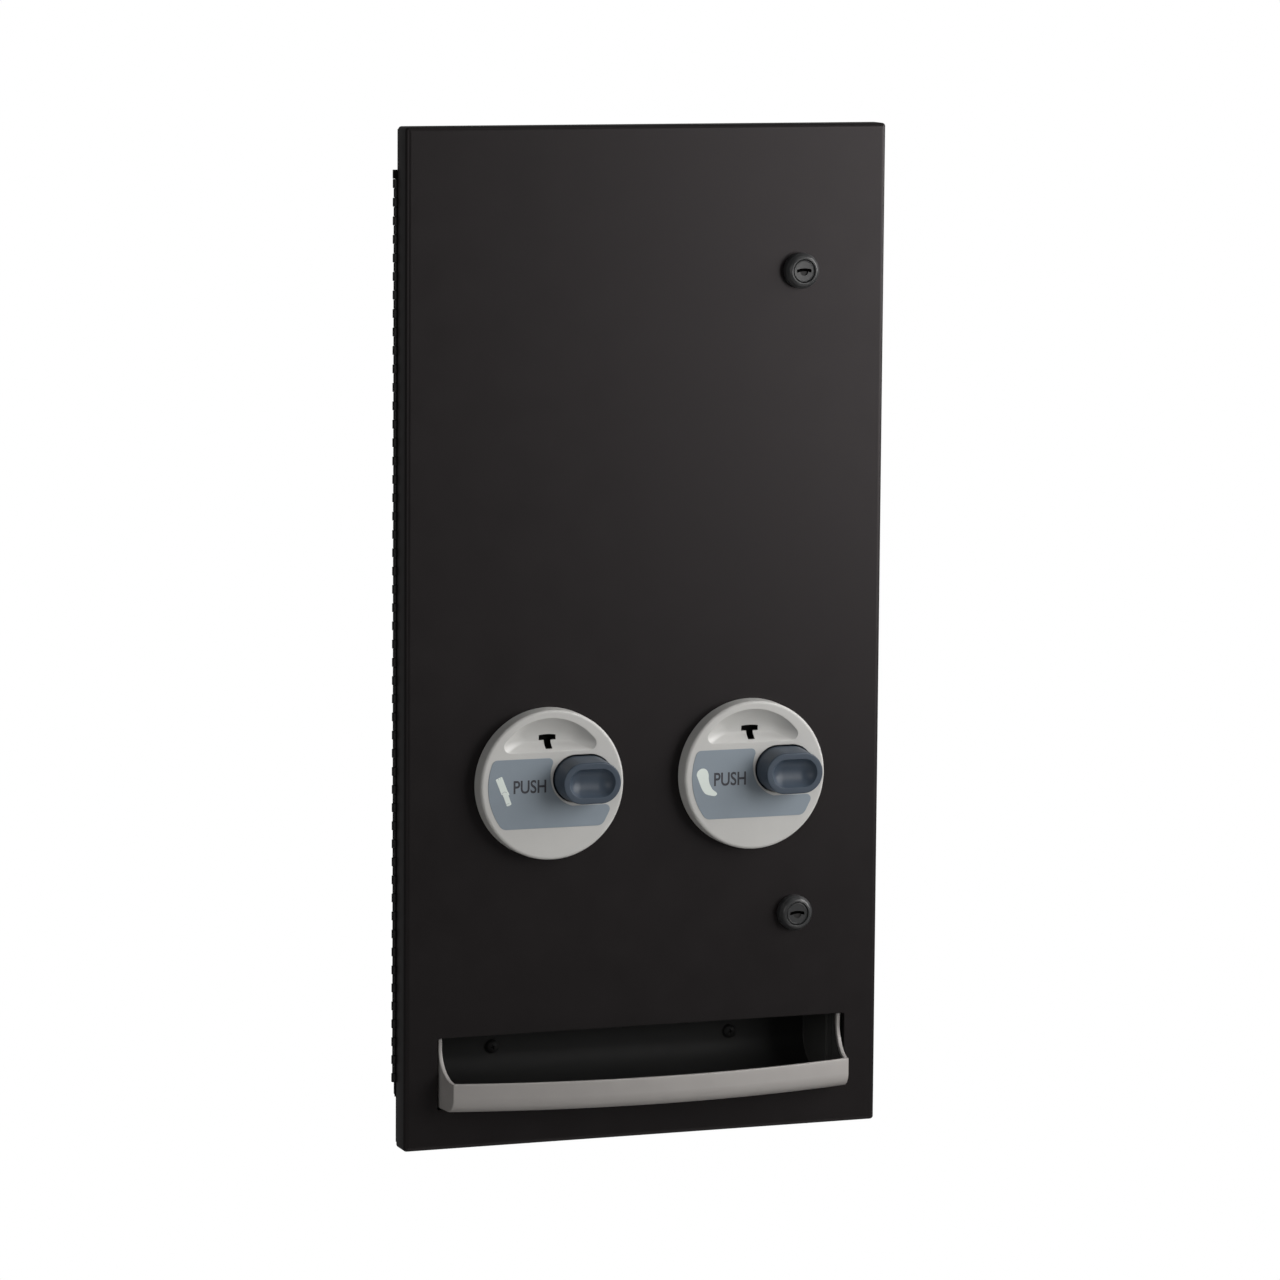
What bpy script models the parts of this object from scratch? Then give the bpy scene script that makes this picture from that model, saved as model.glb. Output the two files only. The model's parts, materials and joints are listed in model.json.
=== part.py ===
"""A recessed washroom dispenser for tampons and pads.

A sheet-metal cabinet sits in the wall. A hinged door closes it and carries everything else: two push-button
vendors with their magazines, the tray and bin at the bottom, and two cam locks.

Metres, +Z up. The front faces -Y and +Y points into the wall. The origin is the middle of the cabinet's back.
"""

import math

import bmesh
import bpy
from mathutils import Vector
from mathutils.geometry import tessellate_polygon

# General
seat_gap = 0.0003
overrun = 0.002
running_clearance = 0.00005
point_decimals = 9
smooth_degrees = 32
round_steps = 24
end_steps = 8
corner_steps = 3
screw_steps = 12
hidden_screw_steps = 8

# Cabinet and its flange
cabinet_depth = 0.1016
cabinet_sheet = 0.0012
flange_inset_x = 0.00195
flange_inset_z = 0.0023
flange_reach_x = 0.0145
flange_reach_z = 0.018
flange_sheet = 0.0015
wall_screw_radius = 0.003
wall_screw_inset = 0.085

# Door
door_width = 0.3529
door_height = 0.7106
door_depth = 0.020
door_sheet = 0.0012
door_lip = 0.012
door_corner_radius = 0.003
door_bend_radius = 0.0025
door_wall_gap = 0.0061
least_corner_share = 0.2

# Hinge
knuckle_length = 0.0061
knuckle_gap = 0.00025
hinge_top_inset = 0.03633
hinge_margin = 0.0816
door_knuckle_radius = 0.0023
hinge_pin_radius = 0.001
hinge_leaf_sheet = 0.0009
hinge_leaf_reach = 0.0109
hinge_end_above = 0.0064
hinge_end_below = 0.0108
hinge_end_proud = 0.0012
door_knuckle_sides = 8
cabinet_knuckle_sides = 6
pin_sides = 6

# Dials
dial_x = 0.002
dial_spacing_share = 0.42647
dial_above_lock = 0.1014
bezel_radius = 0.0529
bezel_height = 0.013
bezel_draft = 0.0012
bezel_edge_radius = 0.0011
bezel_wall = 0.003
bezel_steps = 48

# Label on a dial, its outline from the dial's centre
label_sheet = 0.0004
label_top_z = 0.0191
label_bottom_z = -0.0299
label_arm_top_z = -0.0151
label_left_radius = 0.0472
label_inner_x = 0.0207
label_inner_z = 0.0063
label_inner_radius = 0.0219
label_right_x = 0.0431
label_slant = 0.0076
label_corner = 0.004

# Scoop and its T slot
scoop_bottom_z = 0.0233
scoop_radius = 0.0467
scoop_corner = 0.0045
scoop_depth = 0.0095
scoop_inset_share = 0.34
scoop_backing = 0.004
scoop_floor = 0.002
scoop_levels = 5
slot_x = -0.0008
slot_top_z = 0.0342
slot_bar_width = 0.0125
slot_bar_height = 0.0037
slot_stem_width = 0.0052
slot_stem_height = 0.0053

# Push button and what guides it
button_x = 0.0222
button_z = 0.0032
button_width = 0.0415
button_height = 0.030
button_proud = 0.019
button_travel = 0.012
button_wall = 0.0025
button_edge_radius = 0.0015
button_rim = 0.0043
button_dish_depth = 0.005
button_dish_inset = 0.007
button_dish_levels = 4
button_flange = 0.0027
button_flange_thickness = 0.002
button_slip = 0.0002
aperture_gap = 0.00105
aperture_depth = 0.004
collar_wall = 0.0028
collar_length = 0.014
collar_slip = 0.0006

# Housing behind the door
housing_plate = 0.002
housing_wall = 0.0022
housing_depth = 0.0402
housing_slip = 0.0005
housing_edge = 0.0088
bezel_screw_places = ((0.0392, -0.0245), (-0.0392, -0.0245), (-0.0434, 0.0158))
boss_radius = 0.0034
boss_hole_radius = 0.00205
boss_hole_depth = 0.0088
screw_radius = 0.00175
screw_head_radius = 0.0032
screw_head_height = 0.0022
screw_tip_gap = 0.0006

# Slide arm, rack and spring
arm_plate_width = 0.040
arm_plate_height = 0.020
arm_sheet = 0.002
arm_leg_width = 0.008
arm_slot_clearance = 0.0006
spring_post_radius = 0.0035
spring_post_length = 0.0134
spring_radius = 0.007
spring_wire_radius = 0.0006
spring_turns = 6
spring_points = 9
rack_width = 0.005
rack_bar_height = 0.006
rack_tail = 0.010

# Gate, pinion and their shaft
gear_module = 0.001
pinion_teeth = 19
gear_addendum = 0.0007
gear_dedendum = 0.0011
gear_backlash = 0.00025
gear_pressure_degrees = 20
rack_teeth = 8
rack_teeth_ahead = 2
gate_shaft_radius = 0.003
gate_shaft_proud = 0.002
gate_hub_radius = 0.0045
gate_shaft_inset = 0.008
gate_shelf_gap = 0.008
gate_finger_reach = 0.026
gate_finger_degrees = 86
gate_sheet = 0.0015
gate_side_gap = 0.001
pinion_gap = 0.0005

# Magazines and their brackets
magazine_sheet = 0.001
magazine_rear_gap = 0.0157
magazine_top_gap = 0.035
magazine_above_bin = 0.072
magazine_left_gap = 0.0288
magazine_right_gap = 0.0308
tampon_magazine_share = 0.44547
pad_magazine_share = 0.39939
gate_shaft_rise = 0.019
bracket_sheet = 0.0015
bracket_height = 0.030
bracket_end_gap = 0.030
bracket_cam_gap = 0.0312
lower_bracket_share = 0.3862

# Tray front
opening_inset = 0.02405
opening_rise = 0.0271
opening_height = 0.0519
opening_gap = 0.001
tray_wall = 0.003
tray_front_gap = 0.0049
tray_back_gap = 0.0029
tray_end_proud = 0.0212
tray_bow = 0.0194
tray_lip_rise = 0.0231
tray_front_height = 0.0109
tray_chin_radius = 0.0112
tray_chin_steps = 4
tray_bow_steps = 16
tray_rear = 0.012
tray_rim_y = 0.0035
tray_rim_drop = 0.0077
tray_rim_steps = 8
tray_ear_reach = 0.0085
tray_ear_thickness = 0.0025
tray_ear_height = 0.034

# Bin and chute
bin_wall = 0.0015
bin_depth = 0.066
bin_curve_radius = 0.022
bin_curve_steps = 5
bin_above_opening = 0.0143
bin_side_inset = 0.0005
bin_screw_share = 0.602
bin_screw_rise = 0.0302
bin_screw_radius = 0.002
bin_screw_head_radius = 0.005
bin_screw_head_height = 0.0032
bin_screw_length = 0.0055
chute_sheet = 0.0012
chute_inset = 0.0205
chute_foot_rise = 0.0222
chute_fold_rise = 0.003
chute_shoulder_drop = 0.006
chute_hook = 0.040

# Locks
lock_inset = 0.06425
upper_lock_drop = 0.1021
lower_lock_rise = 0.0752
lock_rim_radius = 0.01275
lock_proud = 0.009
lock_barrel_radius = 0.0093
lock_barrel_length = 0.0307
lock_rim_edge = 0.0015
lock_rim_steps = 3
lock_plug_radius = 0.008
lock_plug_recess = 0.0004
lock_hole_slip = 0.0003
key_slot_width = 0.0109
key_slot_height = 0.002
key_notch_radius = 0.003
key_slot_depth = 0.006
lock_nut_flats = 0.024
lock_nut_thickness = 0.005
cam_drive = 0.0066
cam_sheet = 0.0025
cam_reach = 0.042
cam_width = 0.014
cam_screw_head_radius = 0.005
strike_sheet = 0.002
strike_reach = 0.0127
strike_leg = 0.022
strike_height = 0.028
strike_cam_gap = 0.0004

# Door bumpers
bumper_radius = 0.004
bumper_inset = 0.0055
bumper_drop = 0.053

# Sizes and planes that follow from those above
flange_width = door_width - 2 * flange_inset_x
flange_height = door_height - 2 * flange_inset_z
cabinet_inner_width = flange_width - 2 * flange_reach_x
cabinet_inner_height = flange_height - 2 * flange_reach_z
wall_screw_z = cabinet_inner_height / 2 - wall_screw_inset
bumper_z = flange_height / 2 - bumper_drop
opening_half_width = door_width / 2 - opening_inset
opening_bottom_z = opening_rise - door_height / 2
opening_top_z = opening_bottom_z + opening_height
lock_x = door_width / 2 - lock_inset
upper_lock_z = door_height / 2 - upper_lock_drop
lower_lock_z = opening_top_z + lower_lock_rise
dial_spacing = door_width * dial_spacing_share
dial_z = lower_lock_z + dial_above_lock
tray_front_half_width = opening_half_width - tray_front_gap
tray_back_half_width = opening_half_width - tray_back_gap
tray_lip_z = opening_bottom_z + tray_lip_rise
tray_rim_z = opening_top_z - tray_rim_drop
bin_top_z = opening_top_z + bin_above_opening
bin_screw_x = tray_back_half_width * bin_screw_share
bin_screw_z = opening_bottom_z + bin_screw_rise
magazine_top_z = cabinet_inner_height / 2 - magazine_top_gap
magazine_bottom_z = bin_top_z + magazine_above_bin
magazines_left_x = magazine_left_gap - cabinet_inner_width / 2
magazines_right_x = cabinet_inner_width / 2 - magazine_right_gap
gate_shaft_z = magazine_bottom_z + gate_shaft_rise
bracket_half_width = cabinet_inner_width / 2 - bracket_end_gap
upper_bracket_z = upper_lock_z - cam_reach - bracket_cam_gap - bracket_height / 2
dial_top_z = dial_z + bezel_radius
lower_bracket_z = dial_top_z + (upper_bracket_z - dial_top_z) * lower_bracket_share
chute_half_width = tray_back_half_width - chute_inset
chute_foot_z = opening_bottom_z + chute_foot_rise
chute_fold_z = bin_top_z + chute_fold_rise
chute_shoulder_z = magazine_bottom_z - chute_shoulder_drop
chute_top_z = magazine_bottom_z + chute_hook
wall_y = -cabinet_depth
door_back_y = wall_y - door_wall_gap
door_front_y = door_back_y - door_depth
door_inner_y = door_front_y + door_sheet
flange_front_y = wall_y - flange_sheet
hinge_x = -door_width / 2
hinge_y = door_back_y + seat_gap + door_knuckle_radius
cabinet_knuckle_radius = flange_front_y - seat_gap - hinge_y
knuckle_pitch = 2 * (knuckle_length + knuckle_gap)
knuckle_count = 1 + int((door_height - hinge_margin) / knuckle_pitch)
knuckle_top_z = door_height / 2 - hinge_top_inset
knuckle_bottom_z = knuckle_top_z - (knuckle_count - 1) * knuckle_pitch - knuckle_length
bezel_back_y = door_front_y - seat_gap
bezel_face_y = door_front_y - bezel_height
bezel_under_y = bezel_face_y + bezel_wall
collar_end_y = bezel_under_y + collar_length
button_flange_y = collar_end_y + seat_gap
arm_y = button_flange_y + button_flange_thickness + seat_gap
housing_front_y = door_inner_y + seat_gap
housing_back_y = housing_front_y + housing_depth
magazine_front_y = housing_back_y + seat_gap
magazine_back_y = -magazine_rear_gap
gate_shaft_y = magazine_front_y + gate_shaft_inset
gate_shelf_reach = magazine_back_y - gate_shelf_gap - gate_shaft_y
pinion_radius = gear_module * pinion_teeth / 2
rack_pitch_z = gate_shaft_z + pinion_radius
rack_top_z = rack_pitch_z + gear_dedendum + rack_bar_height
tray_rear_y = door_front_y + tray_rear
tray_bottom_z = tray_lip_z - tray_front_height - tray_chin_radius
bin_back_y = door_front_y + bin_depth
cam_y = door_front_y + lock_barrel_length + seat_gap
cam_screw_y = cam_y + cam_sheet + seat_gap
strike_y = cam_y - strike_cam_gap - strike_sheet

# Material colours as sRGB values, with roughness and metallic share
MATERIALS = {
    "black_powder_coat": ((46, 45, 45), 0.55, 0.0),
    "hinge_steel": ((58, 57, 57), 0.45, 0.6),
    "bezel_grey": ((182, 180, 176), 0.45, 0.0),
    "label_slate": ((125, 137, 150), 0.40, 0.0),
    "button_slate": ((58, 70, 86), 0.40, 0.0),
    "tray_grey": ((140, 136, 132), 0.45, 0.0),
    "bin_black": ((22, 22, 23), 0.55, 0.0),
    "lock_black": ((40, 40, 41), 0.30, 0.7),
    "zinc_steel": ((178, 180, 178), 0.35, 1.0),
    "natural_plastic": ((222, 220, 212), 0.50, 0.0),
    "rubber_black": ((28, 28, 28), 0.80, 0.0),
}


# Outlines: lists of (a, b) points in a plane


def arc(centre, radius, start_degrees, end_degrees, steps):
    """Points on a circle from one angle to another, both ends included."""
    sweep = end_degrees - start_degrees
    turns = [math.radians(start_degrees + sweep * i / steps) for i in range(steps + 1)]
    return [(centre[0] + radius * math.cos(t), centre[1] + radius * math.sin(t)) for t in turns]


def circle(centre, radius, steps):
    """A closed polygon whose corners lie on the circle."""
    return arc(centre, radius, 0, 360, steps)[:-1]


def rectangle(low_a, high_a, low_b, high_b):
    return [(low_a, low_b), (high_a, low_b), (high_a, high_b), (low_a, high_b)]


def stadium(centre, width, height, steps):
    """A slot shape: two half circles joined by straight edges, long side along a."""
    radius = height / 2
    shift = (width - height) / 2
    right = arc((centre[0] + shift, centre[1]), radius, -90, 90, steps)
    left = arc((centre[0] - shift, centre[1]), radius, 90, 270, steps)
    return right + left


def rounded_rectangle(half_a, half_b, radius, steps):
    outline = []
    for sign_a, sign_b, start in ((1, 1, 0), (-1, 1, 90), (-1, -1, 180), (1, -1, 270)):
        centre = (sign_a * (half_a - radius), sign_b * (half_b - radius))
        outline += arc(centre, radius, start, start + 90, steps)
    return outline


def bent_strip(path, thickness):
    """The outline of a folded sheet: a path and its copy set off to the left by the thickness."""
    offset = []
    for i, point in enumerate(path):
        here = Vector(point)
        before = (here - Vector(path[i - 1])).normalized() if i else None
        after = (Vector(path[i + 1]) - here).normalized() if i + 1 < len(path) else None
        into, out = before or after, after or before
        normal = Vector((-into.y - out.y, into.x + out.x)).normalized()
        shift = normal * thickness / normal.dot(Vector((-out.y, out.x)))
        offset.append(tuple(here + shift))
    return list(path) + offset[::-1]


def circumscribed(radius, steps):
    """The corner radius of a polygon whose flats clear a round piece of this radius."""
    return radius / math.cos(math.pi / steps)


# Solids


class Shape:
    """Points and faces of one closed body. A point that is given twice is stored once."""

    def __init__(self):
        self.points = {}
        self.faces = []

    def face(self, corners):
        keys = [tuple(round(value, point_decimals) for value in corner) for corner in corners]
        self.faces.append([self.points.setdefault(key, len(self.points)) for key in keys])

    def strip(self, first, second):
        """Quads between two closed loops of as many points."""
        for i in range(len(first)):
            j = (i + 1) % len(first)
            self.face([first[i], first[j], second[j], second[i]])

    def flat(self, outline, holes, place):
        """A flat face with holes, filled by triangles; place turns (a, b) into a point in space."""
        loops = [outline] + holes
        corners = [point for loop in loops for point in loop]
        for triangle in tessellate_polygon([[Vector((a, b, 0)) for a, b in loop] for loop in loops]):
            self.face([place(*corners[index]) for index in triangle])


def on_axis(axis, along):
    """A function that puts an outline's (a, b) on the plane that crosses the axis at along."""
    return {
        "x": lambda a, b: (along, a, b),
        "y": lambda a, b: (a, along, b),
        "z": lambda a, b: (a, b, along),
    }[axis]


def loft(loops, closed=False):
    """A solid through loops of points: closed on itself like a tube wall, or capped at both ends."""
    shape = Shape()
    for first, second in zip(loops, loops[1:]):
        shape.strip(first, second)
    if closed:
        shape.strip(loops[-1], loops[0])
    else:
        shape.face(loops[0])
        shape.face(loops[-1])
    return shape


def prism(outline, axis, low, high, holes=()):
    """An outline pushed along an axis from low to high, with holes right through."""
    shape = Shape()
    bottom, top = on_axis(axis, low), on_axis(axis, high)
    for loop in [outline, *holes]:
        shape.strip([bottom(*p) for p in loop], [top(*p) for p in loop])
    for place in (bottom, top):
        if holes:
            shape.flat(outline, list(holes), place)
        else:
            shape.face([place(*p) for p in outline])
    return shape


def block(x, y, z):
    return prism(rectangle(*x, *y), "z", *z)


def turned(profile, centre, axis, steps, closed=False):
    """A profile of (radius, along) turned about an axis through centre."""
    loops = []
    for radius, along in profile:
        place = on_axis(axis, along)
        loops.append([place(*p) for p in circle(centre, radius, steps)])
    return loft(loops, closed)


def helix_points(centre, radius, start_y, end_y, turns, points_a_turn):
    """Points along a coil that runs in +Y."""
    count = turns * points_a_turn
    points = []
    for i in range(count + 1):
        turn = 2 * math.pi * i / points_a_turn
        y = start_y + (end_y - start_y) * i / count
        points.append((centre[0] + radius * math.cos(turn), y, centre[1] + radius * math.sin(turn)))
    return points


# Objects


def linear(value):
    share = value / 255
    return share / 12.92 if share <= 0.04045 else ((share + 0.055) / 1.055) ** 2.4


def make_materials():
    made = {}
    for name, (colour, roughness, metallic) in MATERIALS.items():
        material = bpy.data.materials.new(name)
        material.use_nodes = True
        shader = material.node_tree.nodes["Principled BSDF"]
        shader.inputs["Base Color"].default_value = (*[linear(value) for value in colour], 1)
        shader.inputs["Roughness"].default_value = roughness
        shader.inputs["Metallic"].default_value = metallic
        made[name] = material
    return made


class Body:
    """An empty on a joint's axis, and the pieces that move with it."""

    def __init__(self, name, pivot, parent=None):
        self.pivot = Vector(pivot)
        self.empty = bpy.data.objects.new(name, None)
        self.empty.empty_display_size = knuckle_length
        bpy.context.scene.collection.objects.link(self.empty)
        self.empty.parent = parent.empty if parent else None
        self.empty.location = self.pivot - parent.pivot if parent else self.pivot

    def add(self, name, data, material=None):
        """An object of this body, its origin on the body's joint."""
        piece = bpy.data.objects.new(name, data)
        bpy.context.scene.collection.objects.link(piece)
        piece.parent = self.empty
        if material:
            data.materials.append(materials[material])
        return piece

    def solid(self, name, shape, material=None):
        """A mesh object from a Shape whose points are in world space."""
        mesh = bpy.data.meshes.new(name)
        mesh.from_pydata([Vector(point) - self.pivot for point in shape.points], [], shape.faces)
        work = bmesh.new()
        work.from_mesh(mesh)
        bmesh.ops.recalc_face_normals(work, faces=work.faces)
        work.to_mesh(mesh)
        work.free()
        mesh.shade_smooth()
        mesh.set_sharp_from_angle(angle=math.radians(smooth_degrees))
        return self.add(name, mesh, material)

    def combine(self, piece, operation, *shapes):
        """Boolean modifiers on a piece, each with its own hidden operand."""
        for shape in shapes:
            number = len(piece.modifiers)
            operand = self.solid(f"{piece.name}.{operation.lower()}_{number}", shape)
            operand.hide_render = True
            operand.display_type = "WIRE"
            modifier = piece.modifiers.new(operand.name, "BOOLEAN")
            modifier.operation = operation
            modifier.solver = "EXACT"
            modifier.object = operand
        return piece

    def fuse(self, piece, *shapes):
        return self.combine(piece, "UNION", *shapes)

    def cut(self, piece, *shapes):
        return self.combine(piece, "DIFFERENCE", *shapes)


# Cabinet


def make_cabinet(body):
    """An open box whose rim comes through the flange, and the flange that lies on the wall round it."""
    half_width, half_height = cabinet_inner_width / 2, cabinet_inner_height / 2
    outer = rectangle(-half_width - cabinet_sheet, half_width + cabinet_sheet,
                      -half_height - cabinet_sheet, half_height + cabinet_sheet)
    inner = rectangle(-half_width, half_width, -half_height, half_height)
    floor_y = -cabinet_sheet
    loops = [(inner, floor_y), (inner, flange_front_y), (outer, flange_front_y), (outer, 0)]
    box = loft([[(a, y, b) for a, b in outline] for outline, y in loops])
    box = body.solid("cabinet_box", box, "black_powder_coat")
    for z in (-wall_screw_z, wall_screw_z):
        hole = circle((-cabinet_depth / 2, z), wall_screw_radius, screw_steps)
        reach = half_width + cabinet_sheet + overrun
        body.cut(box, prism(hole, "x", -reach, reach))

    flange = rectangle(-flange_width / 2, flange_width / 2, -flange_height / 2, flange_height / 2)
    around = cabinet_sheet + seat_gap
    window = rectangle(-half_width - around, half_width + around, -half_height - around, half_height + around)
    body.solid("mounting_flange", prism(flange, "y", flange_front_y, wall_y, [window]), "black_powder_coat")


def make_strike(body, name, lock_z):
    """A folded bracket on the cabinet's right wall that a lock's cam turns in behind."""
    wall_x = cabinet_inner_width / 2 - seat_gap
    path = [(wall_x, strike_y + strike_leg), (wall_x, strike_y), (wall_x - strike_reach, strike_y)]
    low_z = lock_z - strike_height / 2
    strike = prism(bent_strip(path, -strike_sheet), "z", low_z, low_z + strike_height)
    body.solid(name, strike, "zinc_steel")


def make_bumper(body, name, z):
    centre = (flange_width / 2 - bumper_inset, z)
    face_y, seat_y = door_back_y + seat_gap, flange_front_y - seat_gap
    body.solid(name, prism(circle(centre, bumper_radius, screw_steps), "y", face_y, seat_y), "rubber_black")


# Hinge


def knuckle_outline(radius, sides, near_x, side):
    """A knuckle's outline, rolled from the leaf that lies tangent to it on the side given."""
    half_side = 180 / sides
    corners = arc((0, 0), circumscribed(radius, sides), 270 - half_side, half_side - 90, sides - 1)
    leaf_b = hinge_leaf_sheet - radius
    outline = [(near_x, -radius), corners[0]]
    for before, after in zip(corners, corners[1:]):
        if after[0] > 0 and after[1] < leaf_b:
            share = (before[1] - leaf_b) / (before[1] - after[1])
            outline.append((before[0] + (after[0] - before[0]) * share, leaf_b))
            break
        outline.append(after)
    outline.append((near_x, leaf_b))
    return [(hinge_x + a, hinge_y - side * b) for a, b in outline]


def hinge_leaf(radius, sides, other_corner_radius, side, knuckle_tops, ends):
    """A leaf with knuckles along its edge: a plate, and a tab for each knuckle and each plain end."""
    shape = Shape()
    near = other_corner_radius + seat_gap
    far_x, near_x = hinge_x + hinge_leaf_reach, hinge_x + near
    outer_y = hinge_y + side * radius
    inner_y = outer_y - side * hinge_leaf_sheet
    top_z, bottom_z = knuckle_top_z + hinge_end_above, knuckle_bottom_z - hinge_end_below
    bore_radius = circumscribed(hinge_pin_radius + running_clearance, pin_sides)
    bore = circle((hinge_x, hinge_y), bore_radius, pin_sides)
    knuckle = knuckle_outline(radius, sides, near, side)
    proud_x = hinge_x - hinge_end_proud
    plain = [(near_x, outer_y), (proud_x, outer_y), (proud_x, inner_y), (near_x, inner_y)]
    tabs = [(z, z - knuckle_length, knuckle, [bore]) for z in knuckle_tops]
    tabs += [(high, low, plain, []) for high, low in ends]
    tabs.sort(key=lambda tab: -tab[0])

    for high, low, outline, holes in tabs:
        for a, b in zip(outline, outline[1:]):
            shape.face([(*a, high), (*b, high), (*b, low), (*a, low)])
        for hole in holes:
            shape.strip([(*p, high) for p in hole], [(*p, low) for p in hole])
        for z in (high, low):
            if z not in (top_z, bottom_z):
                shape.flat(outline, holes, on_axis("z", z))
            else:
                shape.face([(*p, z) for p in outline])

    levels = sorted({top_z, bottom_z, *[z for tab in tabs for z in tab[:2]]}, reverse=True)
    covered = {tab[0] for tab in tabs}
    for high, low in zip(levels, levels[1:]):
        for y in (outer_y, inner_y):
            shape.face([(near_x, y, high), (near_x, y, low), (far_x, y, bottom_z)])
        if high not in covered:
            shape.face([(near_x, y, z) for y, z in
                        ((outer_y, high), (inner_y, high), (inner_y, low), (outer_y, low))])
    for y in (outer_y, inner_y):
        shape.face([(near_x, y, top_z), (far_x, y, top_z), (far_x, y, bottom_z)])
    shape.face([(far_x, outer_y, top_z), (far_x, inner_y, top_z), (far_x, inner_y, bottom_z),
                (far_x, outer_y, bottom_z)])
    for z in (top_z, bottom_z):
        shape.face([(near_x, outer_y, z), (near_x, inner_y, z), (far_x, inner_y, z), (far_x, outer_y, z)])
    return shape


def make_hinge(cabinet, door):
    """A piano hinge: proud knuckles on the door's leaf, recessed ones on the cabinet's, one pin."""
    door_tops = [knuckle_top_z - i * knuckle_pitch for i in range(knuckle_count)]
    cabinet_tops = [z - knuckle_length - knuckle_gap for z in door_tops[:-1]]
    ends = [
        (knuckle_top_z + hinge_end_above, knuckle_top_z + knuckle_gap),
        (knuckle_bottom_z - knuckle_gap, knuckle_bottom_z - hinge_end_below),
    ]
    door_corner = circumscribed(door_knuckle_radius, door_knuckle_sides)
    cabinet_corner = circumscribed(cabinet_knuckle_radius, cabinet_knuckle_sides)
    door_leaf = hinge_leaf(door_knuckle_radius, door_knuckle_sides, cabinet_corner, -1, door_tops, [])
    cabinet_leaf = hinge_leaf(cabinet_knuckle_radius, cabinet_knuckle_sides, door_corner, 1, cabinet_tops,
                              ends)
    door.solid("hinge_door_leaf", door_leaf, "hinge_steel")
    cabinet.solid("hinge_cabinet_leaf", cabinet_leaf, "hinge_steel")
    pin = prism(circle((hinge_x, hinge_y), hinge_pin_radius, pin_sides), "z", knuckle_bottom_z, knuckle_top_z)
    cabinet.solid("hinge_pin", pin, "hinge_steel")


# Door


def button_centre(dial):
    return (dial.x + button_x, dial.z + button_z)


def door_loop(inset, y):
    least = door_corner_radius * least_corner_share
    radius = max(door_corner_radius - inset, least)
    outline = rounded_rectangle(door_width / 2 - inset, door_height / 2 - inset, radius, corner_steps)
    return outline, y


def door_bend(radius):
    """Insets and depths round the bend at the door's front edge, for a surface of this bend radius."""
    quarter = arc((door_bend_radius, door_bend_radius), radius, 270, 180, corner_steps)
    return [(inset, door_front_y + depth) for inset, depth in quarter]


def make_door_panel(body, dials):
    """A folded pan: front, rolled edges, returns and lips, with its cut-outs."""
    outer = [door_loop(inset, y) for inset, y in door_bend(door_bend_radius)]
    inner = [door_loop(inset, y) for inset, y in door_bend(door_bend_radius - door_sheet)]
    lip_y = door_back_y - door_sheet
    back = [door_loop(0, door_back_y), door_loop(door_lip, door_back_y), door_loop(door_lip, lip_y),
            door_loop(door_sheet, lip_y)]
    loops = [[(a, y, b) for a, b in outline] for outline, y in [*outer, *back, *inner[::-1]]]
    shape = Shape()
    for first, second in zip(loops, loops[1:]):
        shape.strip(first, second)

    holes = [rectangle(-opening_half_width, opening_half_width, opening_bottom_z, opening_top_z)]
    for z in (upper_lock_z, lower_lock_z):
        holes.append(circle((lock_x, z), lock_barrel_radius + lock_hole_slip, round_steps))
    for dial in dials:
        width = button_width + 2 * (button_slip + collar_wall + collar_slip)
        height = button_height + 2 * (button_slip + collar_wall + collar_slip)
        holes.append(stadium(button_centre(dial), width, height, end_steps))
        for x, z in bezel_screw_places:
            holes.append(circle((dial.x + x, dial.z + z), boss_hole_radius, screw_steps))
    for outline, y in (outer[0], inner[0]):
        shape.flat(outline, holes, on_axis("y", y))
    for hole in holes:
        shape.strip([(a, door_front_y, b) for a, b in hole], [(a, door_inner_y, b) for a, b in hole])
    body.solid("door_panel", shape, "black_powder_coat")


# Dials


class Dial:
    """One of the two vendors: where its face is, and the magazine behind it."""

    def __init__(self, name, side, magazine_left, magazine_right):
        self.name = name
        self.x = dial_x + side * dial_spacing / 2
        self.z = dial_z
        self.magazine_left = magazine_left
        self.magazine_right = magazine_right
        self.rack_left = self.magazine_right + pinion_gap
        self.rack_right = self.rack_left + rack_width


def scoop_outline(dial, grow, corner):
    """The scoop's shape: a flat bottom edge and an arc about the dial's centre, with round ends."""
    radius, bottom = scoop_radius + grow, scoop_bottom_z - grow
    centre_z = bottom + corner
    centre_x = math.sqrt((radius - corner) ** 2 - centre_z ** 2)
    lean = math.degrees(math.atan2(centre_z, centre_x))
    right = arc((dial.x + centre_x, dial.z + centre_z), corner, -90, lean, corner_steps)
    top = arc((dial.x, dial.z), radius, lean, 180 - lean, end_steps + corner_steps)[1:-1]
    left = arc((dial.x - centre_x, dial.z + centre_z), corner, 180 - lean, 270, corner_steps)
    return right + top + left


def scoop_dish(dial):
    """What the scoop takes out of the dial's face: steep at the rim and flat at the bottom."""
    inset = (scoop_radius - scoop_bottom_z) * scoop_inset_share
    levels = [(0, bezel_face_y - overrun)]
    for i in range(scoop_levels + 1):
        share = i / scoop_levels
        levels.append((share, bezel_face_y + scoop_depth * math.sin(share * math.pi / 2)))
    loops = []
    for share, y in levels:
        corner = scoop_corner * (1 - share / 2)
        loops.append([(a, y, b) for a, b in scoop_outline(dial, -inset * share, corner)])
    return loft(loops)


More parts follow.
